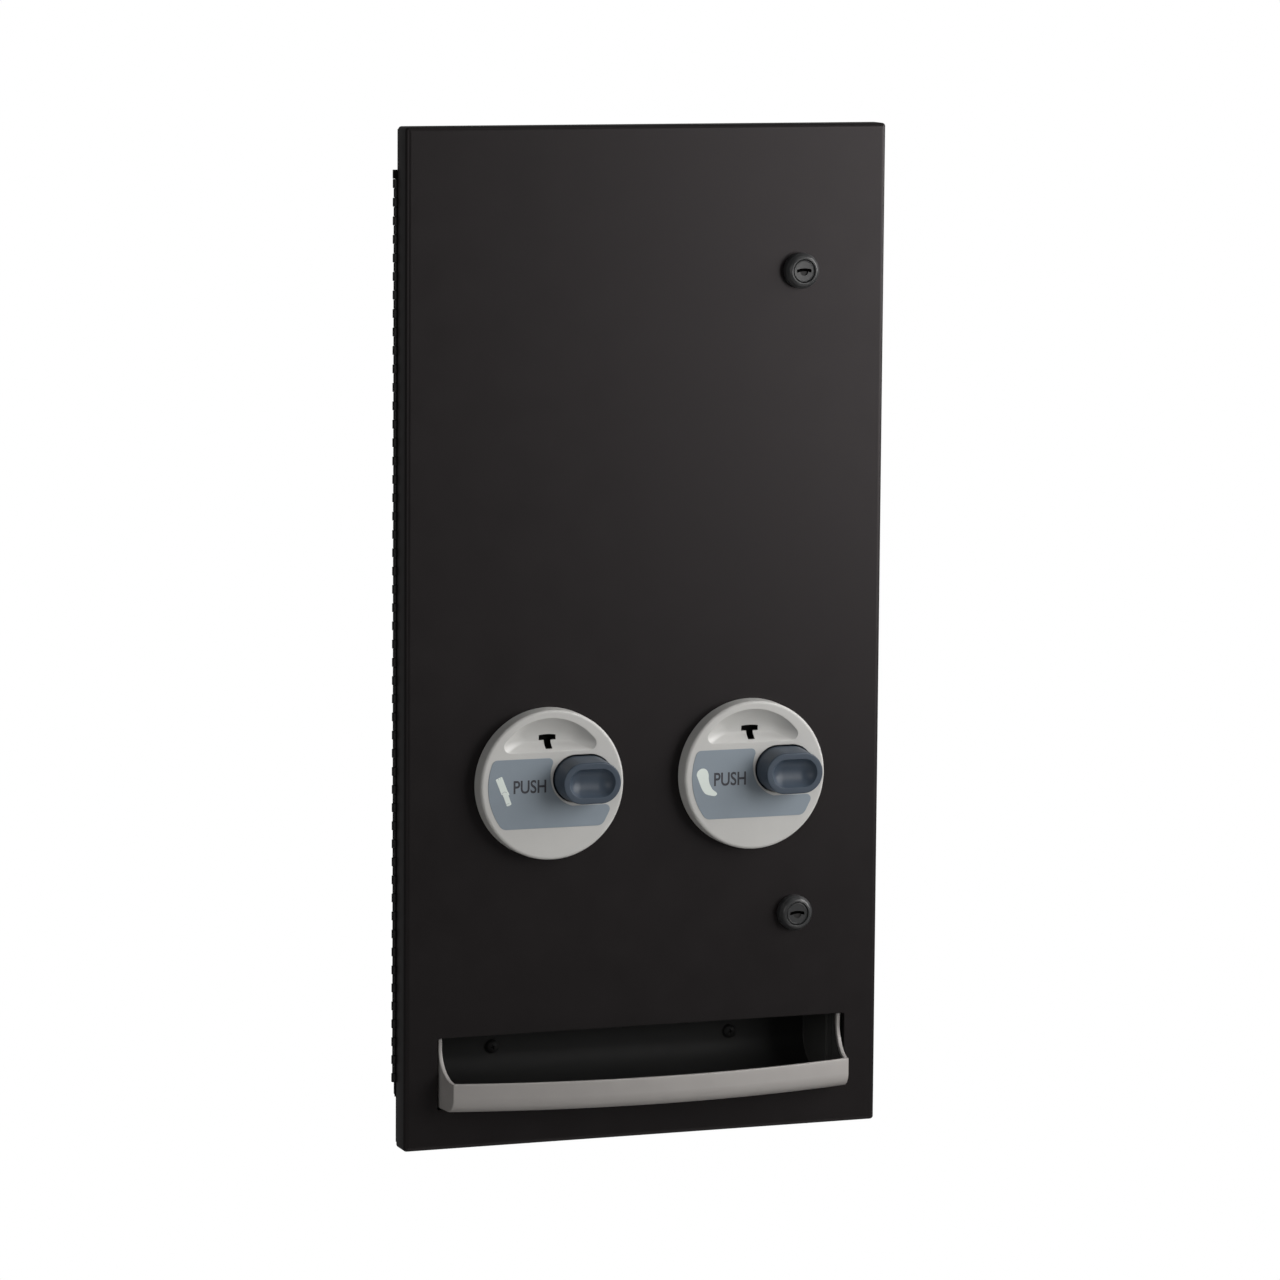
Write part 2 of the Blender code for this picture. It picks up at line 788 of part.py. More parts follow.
def t_slot(dial):
    x, top = dial.x + slot_x, dial.z + slot_top_z
    shoulder, foot = top - slot_bar_height, top - slot_bar_height - slot_stem_height
    bar, stem = slot_bar_width / 2, slot_stem_width / 2
    outline = [(x - bar, top), (x - bar, shoulder), (x - stem, shoulder), (x - stem, foot),
               (x + stem, foot), (x + stem, shoulder), (x + bar, shoulder), (x + bar, top)]
    return prism(outline, "y", bezel_face_y - overrun, bezel_back_y + overrun)


def make_bezel(body, dial):
    """The round grey moulding: a hollow cap with the scoop, the button's collar and three bosses."""
    face_radius = bezel_radius - bezel_draft
    edge_y = bezel_face_y + bezel_edge_radius
    bevel = bezel_edge_radius * (1 - math.sqrt(1 / 2))
    profile = [
        (bezel_radius - bezel_wall, bezel_back_y),
        (face_radius - bezel_wall, bezel_under_y),
    ]
    outside = [
        (face_radius - bezel_edge_radius, bezel_face_y),
        (face_radius - bevel, bezel_face_y + bevel),
        (face_radius, edge_y),
        (bezel_radius, bezel_back_y),
    ]
    cap = turned([*profile[::-1], *outside[::-1]], (dial.x, dial.z), "y", bezel_steps)
    bezel = body.solid(f"{dial.name}_bezel", cap, "bezel_grey")

    sunk_y = bezel_under_y - bezel_wall / 2
    backing_y = bezel_face_y + scoop_depth + scoop_floor
    backing = prism(scoop_outline(dial, scoop_backing, scoop_corner + scoop_backing), "y", sunk_y, backing_y)
    centre = button_centre(dial)
    bore = (button_width + 2 * button_slip, button_height + 2 * button_slip)
    collar = stadium(centre, bore[0] + 2 * collar_wall, bore[1] + 2 * collar_wall, end_steps)
    body.fuse(bezel, backing, prism(collar, "y", sunk_y, collar_end_y))
    holes = []
    for x, z in bezel_screw_places:
        place = (dial.x + x, dial.z + z)
        body.fuse(bezel, prism(circle(place, boss_radius, screw_steps), "y", sunk_y, bezel_back_y))
        hole_end_y = bezel_back_y - boss_hole_depth
        holes.append(prism(circle(place, boss_hole_radius, screw_steps), "y", hole_end_y, collar_end_y))

    aperture = stadium(centre, button_width + 2 * aperture_gap, button_height + 2 * aperture_gap, end_steps)
    relief = prism(aperture, "y", bezel_face_y - overrun, bezel_face_y + aperture_depth)
    guide = prism(stadium(centre, *bore, end_steps), "y", bezel_face_y - 2 * overrun, collar_end_y + overrun)
    body.cut(bezel, scoop_dish(dial), t_slot(dial), relief, guide, *holes)


def label_outline(dial):
    """The label's band: down the dial's left side and along under the button, with rounded corners."""
    x, z = dial.x, dial.z
    inner = (x + label_inner_x, z + label_inner_z)
    left = (x, z)

    def angle(centre, radius, level):
        return math.degrees(math.asin((level - centre[1]) / radius))

    inner_top = 180 - angle(inner, label_inner_radius, z + label_top_z - label_corner)
    inner_end = 180 - angle(inner, label_inner_radius, z + label_arm_top_z)
    left_low = 180 - angle(left, label_left_radius, z + label_bottom_z + label_corner)
    left_high = 180 - angle(left, label_left_radius, z + label_top_z - label_corner)
    bend = arc(inner, label_inner_radius, inner_top, inner_end, end_steps)
    side = arc(left, label_left_radius, left_low, left_high, end_steps)
    right_x, top, bottom = x + label_right_x, z + label_arm_top_z, z + label_bottom_z
    tip = [(right_x - label_corner, top), (right_x, top - label_corner),
           (right_x - label_slant + label_corner / 2, bottom + label_corner),
           (right_x - label_slant - label_corner / 2, bottom)]
    low_corner = (side[0][0] + label_corner, bottom)
    high_corners = [(side[-1][0] + label_corner / 2, z + label_top_z),
                    (bend[0][0] - label_corner / 2, z + label_top_z)]
    return [*bend, *tip, low_corner, *side, *high_corners]


def make_label(body, dial):
    seat_y = bezel_face_y - seat_gap
    label = prism(label_outline(dial), "y", seat_y - label_sheet, seat_y)
    body.solid(f"{dial.name}_label", label, "label_slate")


def button_loop(dial, inset, y):
    outline = stadium(button_centre(dial), button_width - 2 * inset, button_height - 2 * inset, end_steps)
    return [(a, y, b) for a, b in outline]


def make_button(body, dial):
    """A hollow push button: dished face, rolled edge, straight skirt and a flange that keeps it in."""
    front_y = door_front_y - bezel_height - button_proud
    back_y = button_flange_y + button_flange_thickness
    levels = []
    for i in range(button_dish_levels, -1, -1):
        share = i / button_dish_levels
        levels.append((button_rim + share * button_dish_inset,
                       front_y + button_dish_depth * math.sin(share * math.pi / 2)))
    roll = arc((button_edge_radius, button_edge_radius), button_edge_radius, 270, 180, corner_steps)
    levels += [(inset, front_y + depth) for inset, depth in roll]
    web_y = front_y + button_dish_depth + button_wall
    levels += [(0, button_flange_y), (-button_flange, button_flange_y), (-button_flange, back_y),
               (button_wall, back_y), (button_wall, web_y)]
    body.solid(f"{dial.name}_button", loft([button_loop(dial, *level) for level in levels]), "button_slate")


def make_housing(body, dial):
    """A tub behind the door that the button slides into, on a plate that the bezel's screws clamp."""
    centre = button_centre(dial)
    inner_width = button_width + 2 * (button_slip + collar_wall + housing_slip)
    inner_height = button_height + 2 * (button_slip + collar_wall + housing_slip)

    def loop(grow, y):
        outline = stadium(centre, inner_width + 2 * grow, inner_height + 2 * grow, end_steps)
        return [(a, y, b) for a, b in outline]

    floor_y = housing_back_y - housing_wall
    tub = loft([loop(0, floor_y), loop(0, housing_front_y), loop(housing_wall, housing_front_y),
                loop(housing_wall, housing_back_y)])
    housing = body.solid(f"{dial.name}_housing", tub, "natural_plastic")
    left_x = min(x for x, _ in bezel_screw_places) - housing_edge / 2
    right_x = button_x + inner_width / 2 + housing_wall
    low_z = min(z for _, z in bezel_screw_places) - housing_edge / 2
    high_z = button_z + inner_height / 2 + housing_wall
    plate = rectangle(dial.x + left_x, dial.x + right_x, dial.z + low_z, dial.z + high_z)
    window = stadium(centre, inner_width + housing_wall, inner_height + housing_wall, end_steps)
    holes = [circle((dial.x + x, dial.z + z), boss_hole_radius, screw_steps) for x, z in bezel_screw_places]
    sheet = prism(plate, "y", housing_front_y, housing_front_y + housing_plate, [window, *holes])
    slot_x_half = arm_leg_width / 2 + arm_slot_clearance
    slot = block((centre[0] - slot_x_half, centre[0] + slot_x_half),
                 (arm_y - arm_slot_clearance, arm_y + arm_sheet + button_travel + arm_slot_clearance),
                 (dial.z + low_z - overrun, centre[1]))
    body.fuse(housing, sheet)
    body.cut(housing, slot)


def screw(place, seat_y, tip_y, radius, head_radius, head_height, side, steps):
    """A dome-headed screw along Y: its head stands off the seat on the side given."""
    rise = side * head_height / 3
    profile = [(radius, tip_y), (radius, seat_y), (head_radius, seat_y), (head_radius, seat_y + rise),
               (head_radius * math.sqrt(3) / 2, seat_y + 2 * rise), (head_radius / 2, seat_y + 3 * rise)]
    return turned(profile, place, "y", steps)


def make_bezel_screws(body, dial):
    seat_y = housing_front_y + housing_plate + seat_gap
    tip_y = bezel_back_y - boss_hole_depth + screw_tip_gap
    for number, (x, z) in enumerate(bezel_screw_places, 1):
        shape = screw((dial.x + x, dial.z + z), seat_y, tip_y, screw_radius, screw_head_radius,
                      screw_head_height, 1, hidden_screw_steps)
        body.solid(f"{dial.name}_bezel_screw_{number}", shape, "zinc_steel")


# Slide arm, gate and magazine


def tooth(half_pitch_width, addendum, dedendum):
    """Corners of one straight-sided tooth as (across, out) from its middle on the pitch line."""
    slope = math.tan(math.radians(gear_pressure_degrees))
    root = half_pitch_width + dedendum * slope
    tip = half_pitch_width - addendum * slope
    return [(-root, -dedendum), (-tip, addendum), (tip, addendum), (root, -dedendum)]


def make_slide_arm(body, dial):
    """A flat arm on the button's back: it runs down past the housing and carries a rack over the pinion."""
    centre_x, centre_z = button_centre(dial)
    half, leg = arm_plate_width / 2, arm_leg_width / 2
    top_z, low_z = centre_z + arm_plate_height / 2, centre_z - arm_plate_height / 2
    bar_z = rack_pitch_z + gear_dedendum
    outline = [
        (centre_x - half, top_z), (centre_x - half, low_z), (centre_x - leg, low_z), (centre_x - leg, bar_z),
        (dial.rack_right, bar_z), (dial.rack_right, rack_top_z), (centre_x + leg, rack_top_z),
        (centre_x + leg, low_z), (centre_x + half, low_z), (centre_x + half, top_z),
    ]
    arm = body.solid(f"{dial.name}_slide_arm", prism(outline, "y", arm_y, arm_y + arm_sheet), "zinc_steel")

    pitch = math.pi * gear_module
    rack = [(arm_y + arm_sheet / 2, rack_top_z), (arm_y + arm_sheet / 2, bar_z)]
    for i in range(rack_teeth_ahead - rack_teeth + 1, rack_teeth_ahead + 1):
        middle_y = gate_shaft_y + i * pitch
        teeth = tooth(pitch / 4 - gear_backlash / 2, gear_addendum, gear_dedendum)
        rack += [(middle_y + across, rack_pitch_z - out) for across, out in teeth]
    rack.append((gate_shaft_y + rack_tail, bar_z))
    rack.append((gate_shaft_y + rack_tail, rack_top_z))
    post_end_y = arm_y + arm_sheet + spring_post_length
    post = circle((centre_x, centre_z), spring_post_radius, screw_steps)
    body.fuse(arm, prism(rack, "x", dial.rack_left, dial.rack_right),
              prism(post, "y", arm_y + arm_sheet / 2, post_end_y))


def make_return_spring(body, dial):
    """A compression spring between the slide arm and the housing's floor."""
    margin = spring_wire_radius + seat_gap
    start_y = arm_y + arm_sheet + margin
    end_y = housing_back_y - housing_wall - margin
    points = helix_points(button_centre(dial), spring_radius, start_y, end_y, spring_turns, spring_points)
    curve = bpy.data.curves.new(f"{dial.name}_return_spring", "CURVE")
    curve.dimensions = "3D"
    curve.bevel_depth = spring_wire_radius
    curve.bevel_resolution = 1
    curve.use_fill_caps = True
    spline = curve.splines.new("POLY")
    spline.points.add(len(points) - 1)
    for target, point in zip(spline.points, points):
        target.co = (*(Vector(point) - body.pivot), 1)
    body.add(f"{dial.name}_return_spring", curve, "zinc_steel")


def make_gate(body, dial):
    """A shaft across the magazine with a shelf that holds the stack and a finger that catches the next."""
    centre = (gate_shaft_y, gate_shaft_z)
    inside = magazine_sheet + gate_side_gap
    low_x, high_x = dial.magazine_left + inside, dial.magazine_right - inside
    shaft = circle(centre, gate_shaft_radius, screw_steps)
    gate = prism(shaft, "x", dial.magazine_left - gate_shaft_proud, dial.rack_right + gate_shaft_proud)
    gate = body.solid(f"{dial.name}_gate", gate, "natural_plastic")
    flaps = []
    for reach, degrees in ((gate_shelf_reach, 0), (gate_finger_reach, gate_finger_degrees)):
        out = Vector((math.cos(math.radians(degrees)), math.sin(math.radians(degrees))))
        across = Vector((-out.y, out.x)) * gate_sheet / 2
        corners = [Vector(centre) + out * step + across * sign
                   for step, sign in ((0, 1), (0, -1), (reach, -1), (reach, 1))]
        flaps.append(prism([tuple(corner) for corner in corners], "x", low_x, high_x))
    hub = prism(circle(centre, gate_hub_radius, screw_steps), "x", low_x, high_x)
    body.fuse(gate, hub, *flaps)

    outline = []
    step = 2 * math.pi / pinion_teeth
    for i in range(pinion_teeth):
        middle = math.pi / 2 + (i + 1 / 2) * step
        teeth = tooth(math.pi * gear_module / 4 - gear_backlash / 2, gear_addendum, gear_dedendum)
        for across, out in teeth:
            radius, turn = pinion_radius + out, middle + across / pinion_radius
            outline.append((centre[0] + radius * math.cos(turn), centre[1] + radius * math.sin(turn)))
    bore = circle(centre, circumscribed(gate_shaft_radius, screw_steps) + seat_gap, screw_steps)
    pinion = prism(outline, "x", dial.rack_left, dial.rack_right, [bore])
    body.solid(f"{dial.name}_pinion", pinion, "natural_plastic")


def make_magazine(body, dial):
    """A tall sheet tube, open at both ends, with a bearing hole for the gate's shaft in each side."""
    sheet = magazine_sheet
    outer = rectangle(dial.magazine_left, dial.magazine_right, magazine_front_y, magazine_back_y)
    inner = rectangle(dial.magazine_left + sheet, dial.magazine_right - sheet,
                      magazine_front_y + sheet, magazine_back_y - sheet)
    tube = prism(outer, "z", magazine_bottom_z, magazine_top_z, [inner])
    magazine = body.solid(f"{dial.name}_magazine", tube, "zinc_steel")
    bearing = circumscribed(gate_shaft_radius + running_clearance, screw_steps)
    hole = circle((gate_shaft_y, gate_shaft_z), bearing, screw_steps)
    body.cut(magazine, prism(hole, "x", dial.magazine_left - overrun, dial.magazine_right + overrun))


def make_bracket(body, name, z):
    """A channel between the door and the magazines, open towards the door."""
    front_y, back_y = door_inner_y + seat_gap, magazine_front_y - seat_gap
    low, high = z - bracket_height / 2, z + bracket_height / 2
    path = [(front_y, low), (back_y, low), (back_y, high), (front_y, high)]
    channel = prism(bent_strip(path, bracket_sheet), "x", -bracket_half_width, bracket_half_width)
    body.solid(name, channel, "zinc_steel")


# Tray, bin and chute


def tray_loop(z, wall, back_y, chin_inset):
    """A level of the tray front: straight sides, and a bow in front that the chin draws back."""
    front_half, back_half = tray_front_half_width - wall, tray_back_half_width - wall
    bow_radius = (tray_front_half_width ** 2 + tray_bow ** 2) / (2 * tray_bow)
    end_y = door_front_y - tray_end_proud + chin_inset + wall
    centre_y = end_y - tray_bow + bow_radius
    half_degrees = math.degrees(math.asin(front_half / bow_radius))
    bow = arc((0, centre_y), bow_radius, 270 + half_degrees, 270 - half_degrees, tray_bow_steps)
    return [(x, y, z) for x, y in [(-back_half, back_y), (back_half, back_y), *bow]]


def tray_levels(wall, back_y, top_z):
    """Levels from the top down round the chin to the floor, for a surface set in by wall."""
    straight_z = tray_bottom_z + tray_chin_radius
    radius = tray_chin_radius - wall
    levels = [tray_loop(top_z, wall, back_y, 0)]
    for inset, drop in arc((radius, 0), radius, 180, 90, tray_chin_steps):
        levels.append(tray_loop(straight_z - drop, wall, back_y, inset))
    return levels


def make_tray_front(body):
    """The grey moulding in the opening: a bowed lip, two cheeks that sweep up to the door, and a floor."""
    top_z = opening_top_z - opening_gap / 2
    tray = body.solid("tray_front", loft(tray_levels(0, tray_rear_y, top_z)), "tray_grey")
    hollow = loft(tray_levels(tray_wall, tray_rear_y + overrun, top_z + overrun))
    rim_y = door_front_y + tray_rim_y
    front_y = door_front_y - tray_end_proud - tray_bow - overrun
    lip_y = door_front_y - tray_end_proud
    rise = tray_rim_z - tray_lip_z
    sweep = []
    for i in range(tray_rim_steps + 1):
        turn = math.pi / 2 * i / tray_rim_steps
        sweep.append((lip_y + (rim_y - lip_y) * math.cos(turn), tray_rim_z - rise * math.sin(turn)))
    above = top_z + overrun
    rim = [(rim_y, above), *sweep, (front_y, tray_lip_z), (front_y, above)]
    reach = tray_back_half_width + overrun
    body.cut(tray, hollow, prism(rim, "x", -reach, reach))
    ear_y = door_inner_y + seat_gap
    ear_low = opening_bottom_z + opening_gap
    for side in (-1, 1):
        near = side * (tray_back_half_width - tray_wall / 2)
        far = side * (tray_back_half_width + tray_ear_reach)
        body.fuse(tray, block((near, far), (ear_y, ear_y + tray_ear_thickness),
                              (ear_low, ear_low + tray_ear_height)))


def bin_profile(grow, front_y, top_z):
    """The bin's section from the side: floor, round corner and back wall, set out by grow."""
    floor_z = tray_bottom_z + tray_wall - grow
    radius = bin_curve_radius + grow
    back_y = bin_back_y + grow
    corner = arc((back_y - radius, floor_z + radius), radius, 270, 360, bin_curve_steps)
    return [(front_y, floor_z), *corner, (back_y, top_z), (front_y, top_z)]


def bin_screw_hole(side):
    hole = circle((side * bin_screw_x, bin_screw_z), bin_screw_radius + seat_gap, screw_steps)
    return prism(hole, "y", bin_back_y - overrun, bin_back_y + bin_wall + chute_sheet + overrun)


def make_bin(body):
    """The black tub behind the opening, open at the front and the top."""
    half = tray_back_half_width - bin_side_inset
    front_y = tray_rear_y + seat_gap
    outer = prism(bin_profile(bin_wall, front_y, bin_top_z), "x", -half, half)
    hollow_profile = bin_profile(0, front_y - overrun, bin_top_z + overrun)
    hollow = prism(hollow_profile, "x", -half + bin_wall, half - bin_wall)
    made = body.solid("tray_bin", outer, "bin_black")
    body.cut(made, hollow, bin_screw_hole(-1), bin_screw_hole(1))


def make_chute(body):
    """A sheet that leads from the magazines' open bottoms down into the bin, hooked behind both."""
    foot_y = bin_back_y + bin_wall + seat_gap
    shoulder_y = magazine_back_y + seat_gap
    path = [(foot_y, chute_foot_z), (foot_y, chute_fold_z), (shoulder_y, chute_shoulder_z),
            (shoulder_y, chute_top_z)]
    sheet = prism(bent_strip(path, -chute_sheet), "x", -chute_half_width, chute_half_width)
    chute = body.solid("delivery_chute", sheet, "zinc_steel")
    body.cut(chute, bin_screw_hole(-1), bin_screw_hole(1))


def make_bin_screw(body, name, side):
    shape = screw((side * bin_screw_x, bin_screw_z), bin_back_y - seat_gap, bin_back_y + bin_screw_length,
                  bin_screw_radius, bin_screw_head_radius, bin_screw_head_height, -1, screw_steps)
    body.solid(name, shape, "lock_black")


# Locks


def make_lock_body(body, name, z):
    """A domed rim on a barrel that runs through the door, bored for the plug."""
    bore = circumscribed(lock_plug_radius + running_clearance, round_steps)
    front_y = door_front_y - lock_proud
    mouth = (bore + lock_rim_radius) / 2
    dome = lock_proud - seat_gap - lock_rim_edge
    profile = [(bore, front_y)]
    for i in range(lock_rim_steps + 1):
        turn = math.pi / 2 * i / lock_rim_steps
        profile.append((mouth + (lock_rim_radius - mouth) * math.sin(turn),
                        front_y + dome * (1 - math.cos(turn))))
    barrel_end_y = door_front_y + lock_barrel_length
    profile += [(lock_rim_radius, door_front_y - seat_gap), (lock_barrel_radius, door_front_y - seat_gap),
                (lock_barrel_radius, barrel_end_y), (bore, barrel_end_y)]
    body.solid(name, turned(profile, (lock_x, z), "y", round_steps, closed=True), "lock_black")


def make_lock_nut(body, name, z):
    corners = circle((lock_x, z), circumscribed(lock_nut_flats / 2, 6), 6)
    hole = circle((lock_x, z), lock_barrel_radius + seat_gap, round_steps)
    front_y = door_inner_y + seat_gap
    body.solid(name, prism(corners, "y", front_y, front_y + lock_nut_thickness, [hole]), "zinc_steel")


def make_plug(body, name, z):
    """The round plug with its key slot in front and a square drive for the cam behind."""
    front_y = door_front_y - lock_proud + lock_plug_recess
    back_y = door_front_y + lock_barrel_length
    chamfer = lock_plug_recess * 2
    profile = [(lock_plug_radius - chamfer, front_y), (lock_plug_radius, front_y + chamfer),
               (lock_plug_radius, back_y)]
    plug = body.solid(name, turned(profile, (lock_x, z), "y", round_steps), "lock_black")
    half = cam_drive / 2
    drive_end_y = cam_y + cam_sheet
    drive = block((lock_x - half, lock_x + half), (back_y - overrun, drive_end_y), (z - half, z + half))
    hole = circle((lock_x, z), boss_hole_radius, screw_steps)
    width, height = key_slot_width / 2, key_slot_height / 2
    notch = arc((lock_x, z - height), key_notch_radius, 0, -180, end_steps)
    slot = [(lock_x - width, z + height), (lock_x + width, z + height), (lock_x + width, z - height), *notch,
            (lock_x - width, z - height)]
    body.fuse(plug, drive)
    body.cut(plug, prism(slot, "y", front_y - overrun, front_y + key_slot_depth),
             prism(hole, "y", drive_end_y - boss_hole_depth, drive_end_y + overrun))


def make_cam(body, name, z):
    """A flat cam that points down when the lock is open, and its screw."""
    half = cam_width / 2
    top = arc((lock_x, z), half, 0, 180, end_steps)
    tip_z = z - cam_reach
    outline = [*top, (lock_x - half, tip_z + half / 2), (lock_x - half / 2, tip_z),
               (lock_x + half / 2, tip_z), (lock_x + half, tip_z + half / 2)]
    square = cam_drive / 2 + seat_gap
    hole = rectangle(lock_x - square, lock_x + square, z - square, z + square)
    body.solid(name, prism(outline, "y", cam_y, cam_y + cam_sheet, [hole]), "zinc_steel")
    tip_y = cam_y + cam_sheet - boss_hole_depth + screw_tip_gap
    shape = screw((lock_x, z), cam_screw_y, tip_y, screw_radius, cam_screw_head_radius, screw_head_height, 1,
                  hidden_screw_steps)
    body.solid(f"{name}_screw", shape, "zinc_steel")


def main():
    cabinet = Body("cabinet_body", (0, 0, 0))
    door = Body("door_body", (hinge_x, hinge_y, 0), cabinet)
    make_cabinet(cabinet)
    make_strike(cabinet, "upper_strike", upper_lock_z)
    make_strike(cabinet, "lower_strike", lower_lock_z)
    make_bumper(cabinet, "upper_door_bumper", bumper_z)
    make_bumper(cabinet, "lower_door_bumper", -bumper_z)
    make_hinge(cabinet, door)

    row = magazines_right_x - magazines_left_x
    dials = [
        Dial("left", -1, magazines_left_x, magazines_left_x + row * tampon_magazine_share),
        Dial("right", 1, magazines_right_x - row * pad_magazine_share, magazines_right_x),
    ]
    make_door_panel(door, dials)
    for dial in dials:
        make_bezel(door, dial)
        make_label(door, dial)
        make_housing(door, dial)
        make_bezel_screws(door, dial)
        make_return_spring(door, dial)
        make_magazine(door, dial)
        centre_x, centre_z = button_centre(dial)
        slide = Body(f"{dial.name}_button_body", (centre_x, button_flange_y, centre_z), door)
        make_button(slide, dial)
        make_slide_arm(slide, dial)
        turn = Body(f"{dial.name}_gate_body", (dial.magazine_left, gate_shaft_y, gate_shaft_z), door)
        make_gate(turn, dial)
    make_bracket(door, "upper_magazine_bracket", upper_bracket_z)
    make_bracket(door, "lower_magazine_bracket", lower_bracket_z)
    make_tray_front(door)
    make_bin(door)
    make_chute(door)
    make_bin_screw(door, "left_bin_screw", -1)
    make_bin_screw(door, "right_bin_screw", 1)
    for name, z in (("upper", upper_lock_z), ("lower", lower_lock_z)):
        make_lock_body(door, f"{name}_lock_body", z)
        make_lock_nut(door, f"{name}_lock_nut", z)
        plug = Body(f"{name}_plug_body", (lock_x, cam_y, z), door)
        make_plug(plug, f"{name}_lock_plug", z)
        make_cam(plug, f"{name}_lock_cam", z)


for old in list(bpy.data.objects):
    bpy.data.objects.remove(old)
materials = make_materials()
main()
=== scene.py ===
"""The looks of a recessed washroom dispenser for tampons and pads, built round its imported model.

Sizes are in millimetres unless a comment says otherwise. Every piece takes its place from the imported
nodes. The front faces -Y, so a depth counts into the wall and a height counts up.
"""

import json
from math import asin, atan2, ceil, cos, degrees, pi, radians, sin, sqrt, tan

import bmesh
import bpy
import numpy as np
from mathutils import Matrix, Vector
from mathutils.geometry import tessellate_polygon


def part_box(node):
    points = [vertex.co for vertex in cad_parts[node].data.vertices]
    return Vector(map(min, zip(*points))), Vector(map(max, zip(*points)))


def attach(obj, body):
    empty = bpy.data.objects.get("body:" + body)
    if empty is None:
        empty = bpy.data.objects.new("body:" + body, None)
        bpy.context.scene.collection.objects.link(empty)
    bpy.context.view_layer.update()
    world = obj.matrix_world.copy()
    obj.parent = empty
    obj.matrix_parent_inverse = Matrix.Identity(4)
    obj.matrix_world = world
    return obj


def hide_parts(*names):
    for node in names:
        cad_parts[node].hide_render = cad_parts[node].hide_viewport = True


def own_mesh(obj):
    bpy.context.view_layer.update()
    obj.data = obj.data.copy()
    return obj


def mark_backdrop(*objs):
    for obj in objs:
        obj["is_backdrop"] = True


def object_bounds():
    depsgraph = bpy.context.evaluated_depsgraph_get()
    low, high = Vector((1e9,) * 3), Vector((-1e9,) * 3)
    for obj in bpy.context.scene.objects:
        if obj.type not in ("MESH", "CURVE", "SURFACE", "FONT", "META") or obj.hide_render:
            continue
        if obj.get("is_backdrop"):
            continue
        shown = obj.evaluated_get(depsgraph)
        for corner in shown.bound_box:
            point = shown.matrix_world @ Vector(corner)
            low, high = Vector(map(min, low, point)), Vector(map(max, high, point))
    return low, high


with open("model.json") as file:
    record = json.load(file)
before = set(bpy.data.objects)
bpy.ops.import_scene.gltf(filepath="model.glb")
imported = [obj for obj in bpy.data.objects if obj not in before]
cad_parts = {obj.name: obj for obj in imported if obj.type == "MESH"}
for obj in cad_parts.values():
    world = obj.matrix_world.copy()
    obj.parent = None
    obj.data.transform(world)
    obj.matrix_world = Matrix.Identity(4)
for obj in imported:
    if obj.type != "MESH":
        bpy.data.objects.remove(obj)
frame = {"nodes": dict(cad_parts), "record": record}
cad_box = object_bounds()
MM = 0.001

# Camera, solved from the photograph: metres and degrees
CAMERA_PLACE = (-1.42043, -3.96413, 0.53721)
CAMERA_YAW = 20.255
CAMERA_PITCH = 7.519
CAMERA_ROLL = 0.415
FOCAL_PIXELS = 5918.7
IMAGE_PIXELS = 1280
SENSOR = 36


# Colours and materials


def linear(colour):
    """An sRGB colour of 0 to 255 as linear values with alpha."""
    shares = [value / 255 for value in colour]
    return [s / 12.92 if s <= 0.04045 else ((s + 0.055) / 1.055) ** 2.4 for s in shares] + [1]


# Most of what a noise gives lies between these two values
NOISE_RANGE = (0.3, 0.7)


class Nodes:
    """The node tree of a material or the world, with its links made by the names of the sockets."""

    def __init__(self, owner, keep=True):
        owner.use_nodes = True
        self.tree = owner.node_tree
        if not keep:
            self.tree.nodes.clear()

    def feed(self, node, inputs):
        """Gives a node's inputs, by name or number, a value or a link from another node's output."""
        for name, source in inputs.items():
            if isinstance(source, bpy.types.NodeSocket):
                self.tree.links.new(source, node.inputs[name])
            else:
                node.inputs[name].default_value = source

    def shade(self, inputs):
        self.feed(self.tree.nodes["Principled BSDF"], inputs)

    def add(self, kind, inputs=None):
        node = self.tree.nodes.new("ShaderNode" + kind)
        self.feed(node, inputs or {})
        return node

    def noise(self, size, detail, stretch):
        """Noise whose features measure about size in metres, stretched along the object's axes."""
        place = self.add("TexCoord").outputs["Object"]
        mapping = self.add("Mapping", {"Vector": place, "Scale": stretch})
        inputs = {"Vector": mapping.outputs["Vector"], "Scale": 1 / size, "Detail": detail}
        return self.add("TexNoise", inputs).outputs["Fac"]


def finish(name, colour, roughness, grain, grain_height, mottle=0.03, mottle_size=0.02, scuff=0.06,
           stretch=(1, 1, 1), metallic=0.0, specular=0.5, tint=(1, 1, 1)):
    """A material with a mottled colour, an uneven gloss and a fine grain; its sizes are in metres."""
    material = bpy.data.materials.new(name)
    nodes = Nodes(material)
    base = np.array(linear(colour))
    ramp = nodes.add("ValToRGB", {"Fac": nodes.noise(mottle_size, 4, stretch)})
    low, high = ramp.color_ramp.elements
    low.position, high.position = NOISE_RANGE
    low.color = [*(base[:3] * (1 - mottle)), 1]
    high.color = [*np.minimum(base[:3] * (1 + mottle), 1), 1]
    gloss = nodes.add("MapRange", {
        "Value": nodes.noise(mottle_size / 2, 5, stretch),
        "From Min": NOISE_RANGE[0],
        "From Max": NOISE_RANGE[1],
        "To Min": roughness - scuff,
        "To Max": roughness + scuff,
    })
    bump = nodes.add("Bump", {"Height": nodes.noise(grain, 3, stretch), "Distance": grain_height})
    nodes.shade({
        "Base Color": ramp.outputs["Color"],
        "Roughness": gloss.outputs["Result"],
        "Normal": bump.outputs["Normal"],
        "Metallic": metallic,
        "Specular IOR Level": specular,
        "Specular Tint": (*tint, 1),
    })
    return material


